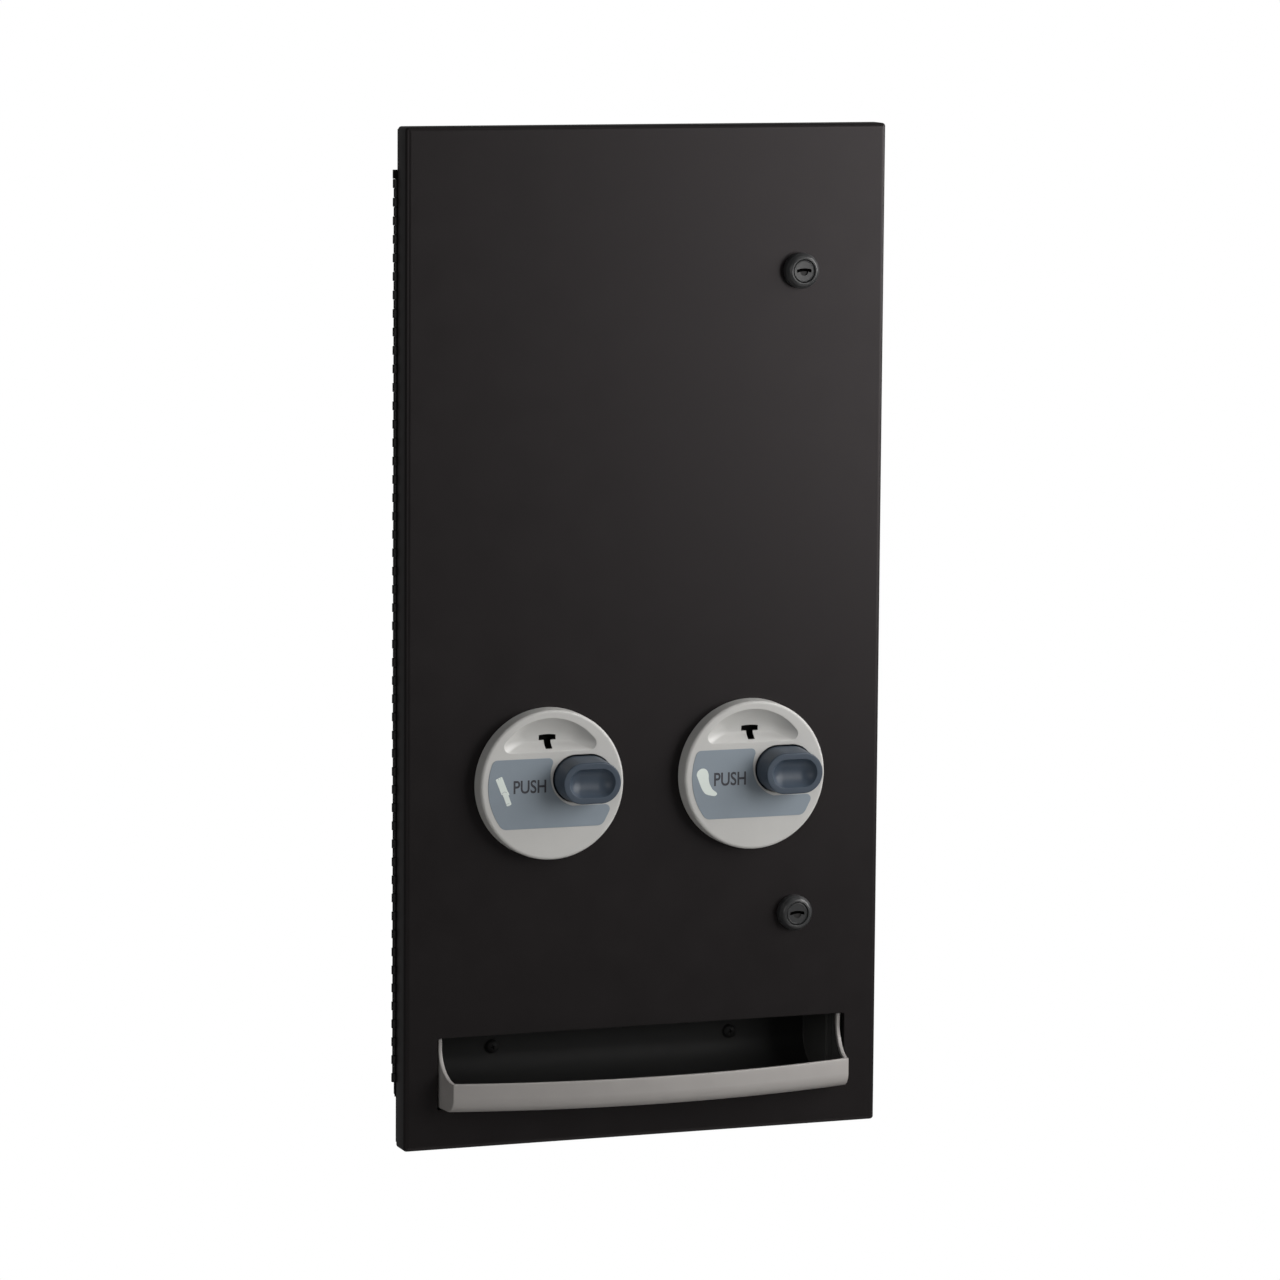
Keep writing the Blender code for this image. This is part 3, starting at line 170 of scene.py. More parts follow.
# By slot: colour, roughness, grain size, grain height, mottle, mottle size, scuff, stretch
FINISHES = {
    "black_powder_coat": ((20, 18, 18), 0.36, 0.0009, 0.00001, 0.05, 0.05, 0.02),
    "hinge_steel": ((18, 18, 18), 0.42, 0.0008, 0.00001, 0.08, 0.006),
    "bezel_grey": ((193, 193, 191), 0.42, 0.0004, 0.000006, 0.015, 0.015, 0.04),
    "label_slate": ((134, 145, 155), 0.38, 0.0005, 0.000003, 0.015, 0.01, 0.03),
    "button_slate": ((62, 73, 86), 0.40, 0.0004, 0.000004, 0.02, 0.008, 0.02),
    "tray_grey": ((162, 159, 157), 0.42, 0.0005, 0.000006, 0.02, 0.02, 0.04),
    "bin_black": ((34, 34, 34), 0.6, 0.0007, 0.000008, 0.06, 0.02, 0.04),
    "lock_black": ((53, 54, 55), 0.3, 0.0006, 0.000001, 0.02, 0.01, 0.01),
    "zinc_steel": ((172, 174, 173), 0.38, 0.0006, 0.000002, 0.05, 0.02, 0.05, (1, 1, 0.6)),
    "natural_plastic": ((222, 220, 212), 0.45, 0.0005, 0.000006, 0.02, 0.02),
    "rubber_black": ((28, 28, 28), 0.75, 0.0004, 0.00001, 0.08, 0.002),
}
# By slot: what differs from the usual shine
SHINES = {
    "black_powder_coat": {"specular": 0.25, "tint": (1, 0.93, 0.96)},
    "hinge_steel": {"specular": 0.3},
    "button_slate": {"specular": 0.4},
    "bin_black": {"specular": 0.3},
    "lock_black": {"specular": 0.4},
    "zinc_steel": {"metallic": 0.75},
}
LOOKS = {slot: finish(slot, *row, **SHINES.get(slot, {})) for slot, row in FINISHES.items()}
# Near-black walls for slots and recesses: painted shade, standing in for the dark inside them
PAINTED_SHADE_BLACK = finish("painted_shade_black", (6, 6, 6), 0.7, 0.0005, 0.000005, specular=0.1)
# A lighter copy of the bin's black for its inside end walls, the liner's inner cheeks and the beads' sides:
# painted light, standing in for the light these walls catch
BIN_SIDE_PAINTED_LIGHT = finish("bin_side_painted_light", (74, 74, 73), 0.6, 0.0007, 0.000008, 0.04, 0.02, 0.04, specular=0.3)
PRINT_DARK = finish("print_dark", (52, 52, 60), 0.45, 0.0005, 0.000003)
PRINT_PALE = finish("print_pale", (226, 235, 230), 0.45, 0.0005, 0.000003, 0.01)


# Outlines: anticlockwise rows of (across, up)


def arc(centre, radius, start, end, steps):
    """Points on a circle between two angles in degrees, both ends included."""
    turns = np.radians(np.linspace(start, end, steps + 1))
    return np.stack([centre[0] + radius * np.cos(turns), centre[1] + radius * np.sin(turns)], 1)


def circle(centre, radius, steps):
    return arc(centre, radius, 0, 360, steps)[:-1]


def stadium(centre, width, height, steps):
    radius, shift = height / 2, (width - height) / 2
    right = arc((centre[0] + shift, centre[1]), radius, -90, 90, steps)
    left = arc((centre[0] - shift, centre[1]), radius, 90, 270, steps)
    return np.concatenate([right, left])


def rounded_box(half_width, half_height, radius, steps=8, centre=(0, 0)):
    parts = []
    for sign_a, sign_b, start in ((1, 1, 0), (-1, 1, 90), (-1, -1, 180), (1, -1, 270)):
        corner = (centre[0] + sign_a * (half_width - radius), centre[1] + sign_b * (half_height - radius))
        parts.append(arc(corner, radius, start, start + 90, steps))
    return np.concatenate(parts)


def unit(vectors):
    return vectors / np.linalg.norm(vectors, axis=1, keepdims=True)


def inset(loop, distance):
    """The loop moved inward; a negative distance moves it outward."""
    before = unit(loop - np.roll(loop, 1, 0))
    after = np.roll(before, -1, 0)
    first = np.stack([-before[:, 1], before[:, 0]], 1)
    normal = unit(first + np.stack([-after[:, 1], after[:, 0]], 1))
    return loop + normal * distance / (normal * first).sum(1, keepdims=True)


def resampled(loop, spacing):
    """The closed loop with points added so that none are further apart than the spacing."""
    points = []
    for here, there in zip(loop, np.roll(loop, -1, 0)):
        count = max(1, ceil(np.linalg.norm(there - here) / spacing))
        points += [here + (there - here) * i / count for i in range(count)]
    return np.array(points)


def roll(radius, steps=6, start=180):
    """Insets and depths round a quarter circle, from the side wall to the face."""
    return [(radius + a, radius + b) for a, b in arc((0, 0), radius, start, 270, steps)]


def mouth(radius, steps, start=180):
    """The same round the edge of a hole, from the face down into the hole."""
    return [(-radius - SUPPORT, 0)] + [(-a, b) for a, b in roll(radius, steps, start)[::-1]]


# Pieces

# Faces that meet at more than this many degrees keep a sharp edge
SHARP = 32
# Points closer than this many metres are merged
MERGE = 1e-7
# The cutter of a pocket starts this far in front of the face
CUT_START = -1
BEVEL_ANGLE = 50


class Skin:
    """Points and faces of one piece, laid ring by ring. A face's kind is the number of its material."""

    def __init__(self):
        self.points, self.faces, self.kinds = [], [], []

    def ring(self, points):
        first = len(self.points)
        self.points.extend(tuple(map(float, point)) for point in points)
        return list(range(first, len(self.points)))

    def face(self, corners, kind=0):
        self.faces.append(corners)
        self.kinds.append(kind)

    def bridge(self, first, second, closed=True, kind=0):
        for i in range(len(first) if closed else len(first) - 1):
            j = (i + 1) % len(first)
            self.face((first[i], first[j], second[j], second[i]), kind)

    def tube(self, rings, closed=True, kind=0):
        for first, second in zip(rings, rings[1:]):
            self.bridge(first, second, closed, kind)

    def fill(self, ring, holes=(), kind=0):
        loops = [ring, *holes]
        flat = [index for loop in loops for index in loop]
        places = [[Vector(self.points[index]) for index in loop] for loop in loops]
        for corners in tessellate_polygon(places):
            self.face([flat[corner] for corner in corners], kind)

    def solid(self, rings, kind=0):
        """A tube through the rings, closed at both ends."""
        self.tube(rings, kind=kind)
        self.fill(rings[0], kind=kind)
        self.fill(rings[-1], kind=kind)

    def level(self, loop, z):
        """A ring of a loop of (x, y) at one height."""
        return self.ring([(x * MM, y * MM, z * MM) for x, y in loop])

    def insets(self, face, loop, levels):
        """Rings of a loop on a face moved inward, from rows of (distance, depth)."""
        return [self.ring(face.at(inset(loop, distance), depth)) for distance, depth in levels]

    def turned(self, face, profile, steps):
        """Rings about an axis into the wall through a face's middle, from rows of (radius, depth)."""
        rings = []
        for radius, depth in profile:
            loop = circle((face.x, face.z), radius * MM, steps)
            rings.append(self.ring([(a, face.y + depth * MM, b) for a, b in loop]))
        return rings


class Face:
    """A place on the front: turns millimetres across, up and into the wall into points in space."""

    def __init__(self, x, y, z):
        self.x, self.y, self.z = x, y, z

    def at(self, loop, depth):
        depths = depth + np.zeros(len(loop))
        return np.stack([self.x + loop[:, 0] * MM, self.y + depths * MM, self.z + loop[:, 1] * MM], 1)


def front_of(node):
    """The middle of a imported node's front."""
    low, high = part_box(node)
    return Face((low.x + high.x) / 2, low.y, (low.z + high.z) / 2)


def add_object(name, data):
    thing = bpy.data.objects.new(name, data)
    bpy.context.scene.collection.objects.link(thing)
    return thing


def mesh_of(name, skin):
    """A mesh of the skin's faces, turned outward."""
    mesh = bpy.data.meshes.new(name)
    mesh.from_pydata(skin.points, [], skin.faces)
    mesh.polygons.foreach_set("material_index", skin.kinds)
    work = bmesh.new()
    work.from_mesh(mesh)
    bmesh.ops.remove_doubles(work, verts=work.verts, dist=MERGE)
    bmesh.ops.recalc_face_normals(work, faces=work.faces)
    work.to_mesh(mesh)
    work.free()
    return mesh


def evaluated_mesh(thing):
    return bpy.data.meshes.new_from_object(thing.evaluated_get(bpy.context.evaluated_depsgraph_get()))


def smooth(mesh, sharp=SHARP):
    mesh.shade_smooth()
    mesh.set_sharp_from_angle(angle=radians(sharp))


def show(name, skin, body, slot, nodes=(), looks=(), sharp=SHARP, look=None):
    """Makes the skin a piece that rides on a body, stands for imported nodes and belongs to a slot."""
    mesh = mesh_of(name, skin)
    smooth(mesh, sharp)
    for material in (look or LOOKS[slot], *looks):
        mesh.materials.append(material)
    piece = add_object(name, mesh)
    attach(piece, body)
    if nodes:
        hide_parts(*nodes)
    return piece


def cut(piece, face, outline, end, start=CUT_START, kind=1):
    """Cuts a straight pocket into a piece between two depths, with walls of the kind. Where that kind is the
    near-black material, it paints the shade inside the pocket.
    """
    skin = Skin()
    skin.solid([skin.ring(face.at(outline, depth)) for depth in (start, end)], kind)
    mesh = mesh_of("cutter", skin)
    for material in piece.data.materials:
        mesh.materials.append(material)
    cutter = add_object("cutter", mesh)
    modifier = piece.modifiers.new("cut", "BOOLEAN")
    modifier.operation, modifier.solver, modifier.object = "DIFFERENCE", "EXACT", cutter
    made = evaluated_mesh(piece)
    piece.modifiers.clear()
    old = piece.data
    piece.data = made
    smooth(made)
    bpy.data.objects.remove(cutter)
    bpy.data.meshes.remove(mesh)
    bpy.data.meshes.remove(old)


def add_bevel(piece, width, segments):
    bevel = piece.modifiers.new("edges", "BEVEL")
    bevel.width = width * MM
    bevel.segments = segments
    bevel.limit_method = "ANGLE"
    bevel.angle_limit = radians(BEVEL_ANGLE)
    bevel.harden_normals = True


# Door

DOOR_LOW, DOOR_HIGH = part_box("door_panel")
DOOR = Face(0, DOOR_LOW.y, 0)
DOOR_WIDTH = (DOOR_HIGH.x - DOOR_LOW.x) / MM
DOOR_HEIGHT = (DOOR_HIGH.z - DOOR_LOW.z) / MM
DOOR_DEPTH = (DOOR_HIGH.y - DOOR_LOW.y) / MM
SHEET = 1.2
DOOR_LIP = 12
CORNER = 2.4
LEAST_CORNER = 0.4
BEND = 3.3
BACK_BEND = 2
# An extra ring this far from a rolled edge keeps the flat beside it flat
SUPPORT = 0.35
OPENING_HALF = 152.4
OPENING_BOTTOM = -326.8
OPENING_TOP = -276.3
OPENING_CORNER = 1.2
HOLE_EDGE = 0.25
HOLE_EDGE_MIDDLE = 0.07
DIAL_HOLE = (48.7, 37.2)
BUTTON_PLACE = (22.2, 3.2)
LOCK_HOLE = 9.6


def make_door():
    """The folded pan: front, rolled edges, returns and lips, with rolled edges at the cut-outs."""
    skin = Skin()

    def ring(distance, depth):
        radius = max(CORNER - distance, LEAST_CORNER)
        loop = rounded_box(DOOR_WIDTH / 2 - distance, DOOR_HEIGHT / 2 - distance, radius)
        return skin.ring(DOOR.at(loop, depth))

    front = [ring(BEND + SUPPORT, 0)] + [ring(*level) for level in roll(BEND)[::-1]]
    back = [(a, DOOR_DEPTH - b) for a, b in roll(BACK_BEND)] + [(DOOR_LIP - SUPPORT, DOOR_DEPTH)]
    lip = [(DOOR_LIP, DOOR_DEPTH - SUPPORT), (DOOR_LIP, DOOR_DEPTH - SHEET)]
    turn_back = [(SHEET + a, DOOR_DEPTH - SHEET - b) for a, b in roll(BACK_BEND - SHEET)[::-1]]
    inside = [(SHEET + a, SHEET + b) for a, b in roll(BEND - SHEET)] + [(BEND + SUPPORT, SHEET)]
    rings = front + [ring(*level) for level in back + lip + turn_back + inside]
    skin.tube(rings)

    half_height = (OPENING_TOP - OPENING_BOTTOM) / 2
    middle = (0, (OPENING_TOP + OPENING_BOTTOM) / 2)
    holes = [rounded_box(OPENING_HALF, half_height, OPENING_CORNER, 6, middle)]
    for name in ("left", "right"):
        face = front_of(f"{name}_bezel")
        place = (face.x / MM + BUTTON_PLACE[0], face.z / MM + BUTTON_PLACE[1])
        holes.append(stadium(place, *DIAL_HOLE, 16))
    for name in ("upper", "lower"):
        face = front_of(f"{name}_lock_body")
        holes.append(circle((face.x / MM, face.z / MM), LOCK_HOLE, 32))
    edge = [(-SUPPORT - HOLE_EDGE, 0), (-HOLE_EDGE, 0), (-HOLE_EDGE_MIDDLE, HOLE_EDGE_MIDDLE),
            (0, HOLE_EDGE), (0, SHEET)]
    outer_holes, inner_holes = [], []
    for hole in holes:
        hole_rings = skin.insets(DOOR, hole, edge)
        skin.tube(hole_rings)
        outer_holes.append(hole_rings[0])
        inner_holes.append(hole_rings[-1])
    skin.fill(rings[0], outer_holes)
    skin.fill(rings[-1], inner_holes)
    show("door_skin", skin, "door", "black_powder_coat", ["door_panel"])


# Hinge

KNUCKLE = 6.1
KNUCKLE_GAP = 0.25
KNUCKLE_CHAMFER = 0.25
KNUCKLE_STEPS = 24
PITCH = 2 * (KNUCKLE + KNUCKLE_GAP)
LEAF = 0.9
# The leaf starts at this share of the knuckle's radius beyond the axis
LEAF_ROOT = 0.3
LEAF_CHAMFER = 0.2
LEAF_STEP = 1.9
LEAF_TAPER = 2.4
LEAF_SLANT = 1.2
PIN_BORE = 1.04
# The pin's rounded end: radius, height beyond the knuckles
PIN_END = ((0.4, 0.3), (0.8, 0.15), (1.0, -0.2))


def hinge_axis():
    """The hinge's axis as (x, y)."""
    low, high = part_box("hinge_pin")
    return np.array([(low.x + high.x) / 2 / MM, (low.y + high.y) / 2 / MM])


def make_knuckles(name, node, body, first_top, count, side, ends=()):
    """Round knuckles down the hinge line, and the leaf they are rolled from."""
    skin = Skin()
    low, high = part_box(node)
    axis = hinge_axis()
    outer = (axis[1] - low.y / MM) if side < 0 else (high.y / MM - axis[1])
    loop = circle(axis, 1, KNUCKLE_STEPS) - axis
    for i in range(count):
        top = first_top - i * PITCH
        bottom = top - KNUCKLE
        levels = [(PIN_BORE, top), (outer - KNUCKLE_CHAMFER, top), (outer, top - KNUCKLE_CHAMFER),
                  (outer, bottom + KNUCKLE_CHAMFER), (outer - KNUCKLE_CHAMFER, bottom), (PIN_BORE, bottom)]
        rings = [skin.level(loop * radius + axis, z) for radius, z in levels]
        skin.tube(rings + rings[:1])
    leaf_outer = axis[1] + side * outer
    leaf_inner = leaf_outer - side * LEAF
    near, far = axis[0] + outer * LEAF_ROOT, high.x / MM
    rounding = side * LEAF_CHAMFER
    profile = [(near, leaf_outer), (far - LEAF_CHAMFER, leaf_outer), (far, leaf_outer - rounding),
               (far, leaf_inner + rounding), (far - LEAF_CHAMFER, leaf_inner), (near, leaf_inner)]
    skin.solid([skin.level(profile, z) for z in (high.z / MM, low.z / MM)])
    for first, last, step, last_step in ends:
        rings = []
        for z, shift in ((first, step), (last, last_step)):
            edge = low.x / MM + shift
            profile = [(edge, leaf_outer), (near, leaf_outer), (near, leaf_inner), (edge, leaf_inner)]
            rings.append(skin.level(profile, z))
        skin.solid(rings)
    show(name, skin, body, "hinge_steel", [node])


def make_hinge():
    low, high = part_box("hinge_pin")
    top, bottom = high.z / MM, low.z / MM
    count = 1 + round((top - bottom - KNUCKLE) / PITCH)
    leaf_low, leaf_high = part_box("hinge_cabinet_leaf")
    make_knuckles("hinge_door_knuckles", "hinge_door_leaf", "door", top, count, -1)
    taper_top = leaf_low.z / MM + LEAF_TAPER
    ends = [(leaf_high.z / MM, top + KNUCKLE_GAP, 0, 0),
            (bottom - KNUCKLE_GAP, taper_top, LEAF_STEP, LEAF_STEP),
            (taper_top, leaf_low.z / MM, LEAF_STEP, LEAF_STEP + LEAF_SLANT)]
    top_2 = top - KNUCKLE - KNUCKLE_GAP
    make_knuckles("hinge_cabinet_knuckles", "hinge_cabinet_leaf", "cabinet", top_2, count - 1, 1, ends)
    skin = Skin()
    levels = [(radius, top + rise) for radius, rise in PIN_END]
    levels += [(radius, bottom - rise) for radius, rise in PIN_END[::-1]]
    skin.solid([skin.level(circle(hinge_axis(), radius, 16), z) for radius, z in levels])
    show("hinge_pin_rod", skin, "cabinet", "hinge_steel", ["hinge_pin"])


# Dials

BEZEL_RIM = 52.6
BEZEL_HEIGHT = 12.98
BEZEL_ROLL = 2.1
BEZEL_STEPS = 192
# The section behind the rolled edge, as (radius, depth): the foot that lies on the door and the side wall
BEZEL_SIDE = [(48.9, 12.98), (52.6, 12.98), (52.9, 12.68), (52.65, 2.7)]
APERTURE = (43.6, 33.4)
APERTURE_RISE = 0.6
APERTURE_ROLL = 0.5
SCOOP_CENTRE = (-1.7, 5.1)
SCOOP_RADIUS = 41.4
SCOOP_FLOOR = 23.9
SCOOP_CORNER = 4.3
SCOOP_SPACING = 1.6
SCOOP_ROLL = 0.8
SCOOP_ROLL_START = 215
SCOOP_DEPTH = 6.9
SCOOP_LEVELS = 26
# The floor's deepest line: half width, height, thickness, and how far the mouth's points gather on it
SCOOP_TROUGH = (15.0, 31.2, 0.8)
SCOOP_GATHER = 0.6
# How steeply the floor falls from the bottom edge and from the arc
SCOOP_LEANS = (1.7, 2.3)
# The T-shaped slot: half widths of its bar and stem with the height each starts at
SLOT_CENTRE = -1.85
SLOT_TOP = 34.4
SLOT_BAR = (6.2, 30.9)
SLOT_ARCH = 0.55
SLOT_STEM = (2.5, 25.2)
SLOT_START = 2
SLOT_LEFT_BEHIND = 0.2


def scoop_outline():
    """The scoop's mouth below its rolled edge: a flat bottom edge under an arc, with round ends."""
    centre = np.array(SCOOP_CENTRE)
    radius, corner = SCOOP_RADIUS, SCOOP_CORNER
    end_b = SCOOP_FLOOR + corner - centre[1]
    end_a = sqrt((radius - corner) ** 2 - end_b ** 2)
    lean = degrees(atan2(end_b, end_a))
    right = arc((end_a, end_b), corner, -90, lean, 14)
    top = arc((0, 0), radius, lean, 180 - lean, 60)[1:-1]
    left = arc((-end_a, end_b), corner, 180 - lean, 270, 14)
    return resampled(np.concatenate([right, top, left]), SCOOP_SPACING) + centre


def make_scoop(skin, face):
    """Rings from the scoop's rolled mouth down to its floor. Returns the ring on the dial's face."""
    outline = scoop_outline()
    levels = mouth(SCOOP_ROLL, 6, SCOOP_ROLL_START)
    rings = skin.insets(face, outline, levels)
    edge_inset, edge_depth = levels[-1]
    edge = inset(outline, edge_inset)
    half, level, thin = SCOOP_TROUGH
    middle = SCOOP_CENTRE[0]
    across = np.clip((outline[:, 0] - middle) * SCOOP_GATHER, -half, half) + middle
    spine = np.stack([across, np.full(len(outline), level)], 1)
    outward = unit(outline - spine)
    trough = spine + outward * thin
    lean = np.interp(outward[:, 1], (-1, 1), SCOOP_LEANS)
    for i in range(1, SCOOP_LEVELS + 1):
        share = i / SCOOP_LEVELS
        depth = edge_depth + (SCOOP_DEPTH - edge_depth) * (1 - (1 - share) ** lean)
        rings.append(skin.ring(face.at(edge * (1 - share) + trough * share, depth)))
    skin.tube(rings)
    skin.fill(rings[-1])
    return rings[0]


def slot_outline():
    """The T-shaped slot in the scoop's floor, with an arched top."""
    (bar, shoulder), (stem, foot) = SLOT_BAR, SLOT_STEM
    arch = [(bar - 2 * bar * i / 10, SLOT_TOP + SLOT_ARCH * (1 - (1 - i / 5) ** 2)) for i in range(11)]
    outline = [(stem, foot), (stem, shoulder), (bar, shoulder), *arch, (-bar, shoulder), (-stem, shoulder),
               (-stem, foot)]
    return np.array(outline) + np.array([SLOT_CENTRE, 0])


def make_bezel(name):
    """The round grey moulding with its scoop and the button's aperture."""
    face = front_of(f"{name}_bezel")
    skin = Skin()
    levels = BEZEL_SIDE + [(BEZEL_RIM - a, b) for a, b in roll(BEZEL_ROLL, 8)]
    levels.append((BEZEL_RIM - BEZEL_ROLL - SUPPORT, 0))
    rings = [skin.ring(face.at(circle((0, 0), radius, BEZEL_STEPS), depth)) for radius, depth in levels]
    skin.tube(rings)
    aperture = stadium((BUTTON_PLACE[0], BUTTON_PLACE[1] + APERTURE_RISE), *APERTURE, 40)
    bore = skin.insets(face, aperture, mouth(APERTURE_ROLL, 4) + [(0, BEZEL_HEIGHT)])
    skin.tube(bore)
    skin.fill(rings[-1], [make_scoop(skin, face), bore[0]])
    skin.fill(rings[0], [bore[-1]])
    piece = show(f"{name}_dial", skin, "door", "bezel_grey", [f"{name}_bezel"], [PAINTED_SHADE_BLACK])
    # The slot's walls take the near-black material: painted shade
    cut(piece, face, slot_outline(), BEZEL_HEIGHT - SLOT_LEFT_BEHIND, SLOT_START)


# Labels

LABEL_TOP = 19.1
LABEL_BOTTOM = -29.9
LABEL_ARM_TOP = -15.1
LABEL_RADIUS = 47.2
LABEL_RING = (20.7, 6.3)
LABEL_RING_RADIUS = 22.3
LABEL_TIP = 44.4
LABEL_SLANT = 7.6
LABEL_ROUND = 6.0
LABEL_TOP_ROUND = 4.5
LABEL_TIP_ROUND = 3.4
LABEL_RING_ROUND = 3.2
LABEL_PROUD = 0.22
LABEL_SINK = 0.02
LABEL_EDGE = 0.1
PRINT_PROUD = 0.04
PRINT_SINK = 0.01
PRINT_EDGE = 0.02
# The middle point of a rolled edge lies this share of its radius inside both sides
EDGE_MIDDLE = 0.3
# Bars and lines of the tampon picture: centre, length, width, corner radius, turn in degrees
TAMPON_BARS = (((-37.3, 1.2), 11.9, 5.0, 0.5, 22), ((-34.3, -5.0), 2.6, 4.6, 0.5, 22),
               ((-33.2, -8.9), 8.4, 3.7, 0.9, 20))
TAMPON_LINES = (((-36.45, -3.65), 1.9, 0.24, 0.1, -56), ((-34.6, -3.25), 1.9, 0.24, 0.1, -109),
                ((-32.9, -11.5), 2.4, 0.2, 0.09, -72), ((-39.8, 5.8), 1.3, 0.2, 0.09, 22),
                ((-38.4, 6.3), 1.0, 0.2, 0.09, 22))
PAD_POINTS = ((-43.8, 2.2), (-42.6, 5.0), (-39.6, 6.5), (-36.6, 5.5), (-35.0, 2.4), (-34.8, -1.3),
              (-34.0, -4.8), (-32.0, -8.4), (-29.3, -10.7), (-28.6, -12.1), (-30.1, -13.4), (-33.8, -12.8),
              (-37.1, -11.6), (-39.2, -9.2), (-40.9, -5.8), (-42.9, -0.6))
# The generic word on both labels, and by dial its left end, foot and top
WORD = "PUSH"
WORD_PLACES = {"left": (-28.7, -5.0, 4.3), "right": (-30.8, -6.5, 3.1)}
WORD_WIDTH = 23.9
WORD_BOLD = 0.016


def label_outline():
    """The label: down the dial's left side and along under the button, with round corners."""
    ring_a, ring_b = LABEL_RING
    big, small = LABEL_RING_RADIUS, LABEL_RING_ROUND
    corner_b = LABEL_TOP - small
    corner_a = ring_a - sqrt((big + small) ** 2 - (corner_b - ring_b) ** 2)
    toward = degrees(atan2(ring_b - corner_b, ring_a - corner_a))
    end = 180 + degrees(asin((ring_b - LABEL_ARM_TOP) / big))
    slant = degrees(atan2(LABEL_ARM_TOP - LABEL_BOTTOM, LABEL_SLANT))
    half_slant = radians(slant / 2)
    tip = (LABEL_TIP - LABEL_TIP_ROUND / tan(half_slant), LABEL_ARM_TOP - LABEL_TIP_ROUND)
    low = (LABEL_TIP - LABEL_SLANT - LABEL_ROUND * tan(half_slant), LABEL_BOTTOM + LABEL_ROUND)
    low_b, high_b = LABEL_BOTTOM + LABEL_ROUND, LABEL_TOP - LABEL_TOP_ROUND
    low_a = -sqrt((LABEL_RADIUS - LABEL_ROUND) ** 2 - low_b ** 2)
    high_a = -sqrt((LABEL_RADIUS - LABEL_TOP_ROUND) ** 2 - high_b ** 2)
    low_turn = degrees(atan2(low_b, low_a)) % 360
    high_turn = degrees(atan2(high_b, high_a)) % 360
    return np.concatenate([
        arc((corner_a, corner_b), small, 90, toward, 10),
        arc(LABEL_RING, big, toward + 180, end, 48)[1:],
        arc(tip, LABEL_TIP_ROUND, 90, slant - 90, 12),
        arc(low, LABEL_ROUND, slant - 90, -90, 12),
        arc((low_a, low_b), LABEL_ROUND, 270, low_turn, 12),
        arc((0, 0), LABEL_RADIUS, low_turn, high_turn, 48)[1:-1],
        arc((high_a, high_b), LABEL_TOP_ROUND, high_turn, 90, 12),
    ])[::-1]


def plate(skin, face, outline, base, thickness, edge):
    """A thin printed film: a closed plate from its base depth out to its front, with a rolled edge."""
    front = base - thickness
    middle = edge * EDGE_MIDDLE
    levels = [(0, base), (0, front + edge), (middle, front + middle), (edge, front), (edge * 2, front)]
    skin.solid(skin.insets(face, outline, levels))


def smooth_loop(points, steps=8):
    """A smooth closed curve through the points."""
    points = np.array(points, float)
    made = []
    for i in range(len(points)):
        p0, p1, p2, p3 = (points[(i + k) % len(points)] for k in (-1, 0, 1, 2))
        for t in np.arange(steps) / steps:
            made.append(0.5 * (2 * p1 + (p2 - p0) * t + (2 * p0 - 5 * p1 + 4 * p2 - p3) * t ** 2
                               + (3 * p1 - p0 - 3 * p2 + p3) * t ** 3))
    return np.array(made)


def turned_box(centre, length, width, radius, turn):
    """A rounded bar, turned about its centre."""
    loop = rounded_box(width / 2, length / 2, radius, 5)
    c, s = cos(radians(turn)), sin(radians(turn))
    return loop @ np.array([[c, s], [-s, c]]) + np.array(centre)


def make_label(name):
    """The slate film on a dial with its picture in pale print, its fine lines and its word."""
    face = front_of(f"{name}_bezel")
    skin = Skin()
    plate(skin, face, label_outline(), LABEL_SINK, LABEL_PROUD + LABEL_SINK, LABEL_EDGE)
    show(f"{name}_label_film", skin, "door", "label_slate", [f"{name}_label"])

    top = Face(face.x, face.y - LABEL_PROUD * MM, face.z)
    skin = Skin()
    if name == "left":
        shapes = [turned_box(*bar) for bar in TAMPON_BARS]
    else:
        shapes = [smooth_loop(PAD_POINTS)[::-1]]
    for i, shape in enumerate(shapes):
        plate(skin, top, shape, PRINT_SINK, PRINT_PROUD + PRINT_SINK * (i + 1), PRINT_EDGE)
    show(f"{name}_label_picture", skin, "door", "label_slate", look=PRINT_PALE)

    if name == "left":
        skin = Skin()
        for line in TAMPON_LINES:
            plate(skin, top, turned_box(*line), 0, PRINT_PROUD * 2, PRINT_EDGE)
        show("left_label_lines", skin, "door", "label_slate")
    make_word(name, top)


def make_word(name, top):
    """The word in raised dark print, stretched to its place on a label."""
    left, low, high = WORD_PLACES[name]
    curve = bpy.data.curves.new(f"{name}_word", "FONT")
    curve.body = WORD
    curve.resolution_u = 6
    curve.offset = WORD_BOLD
    text = add_object(f"{name}_word", curve)
    flat = evaluated_mesh(text)
    bpy.data.objects.remove(text)
    places = np.array([v.co[:2] for v in flat.vertices])
    span = places.max(0) - places.min(0)
    places = (places - places.min(0)) / span * np.array([WORD_WIDTH, high - low]) + np.array([left, low])
    skin = Skin()
    base, front = [skin.ring(top.at(places, depth)) for depth in (PRINT_SINK, -PRINT_PROUD)]
    uses = {}
    for polygon in flat.polygons:
        for ring in (base, front):
            skin.face([ring[i] for i in polygon.vertices])
        for edge in polygon.edge_keys:
            uses[edge] = uses.get(edge, 0) + 1
    for i, j in (edge for edge, count in uses.items() if count == 1):
        skin.face((base[i], base[j], front[j], front[i]))
    bpy.data.meshes.remove(flat)
    show(f"{name}_label_word", skin, "door", "label_slate", sharp=0, look=PRINT_DARK)


# Push buttons

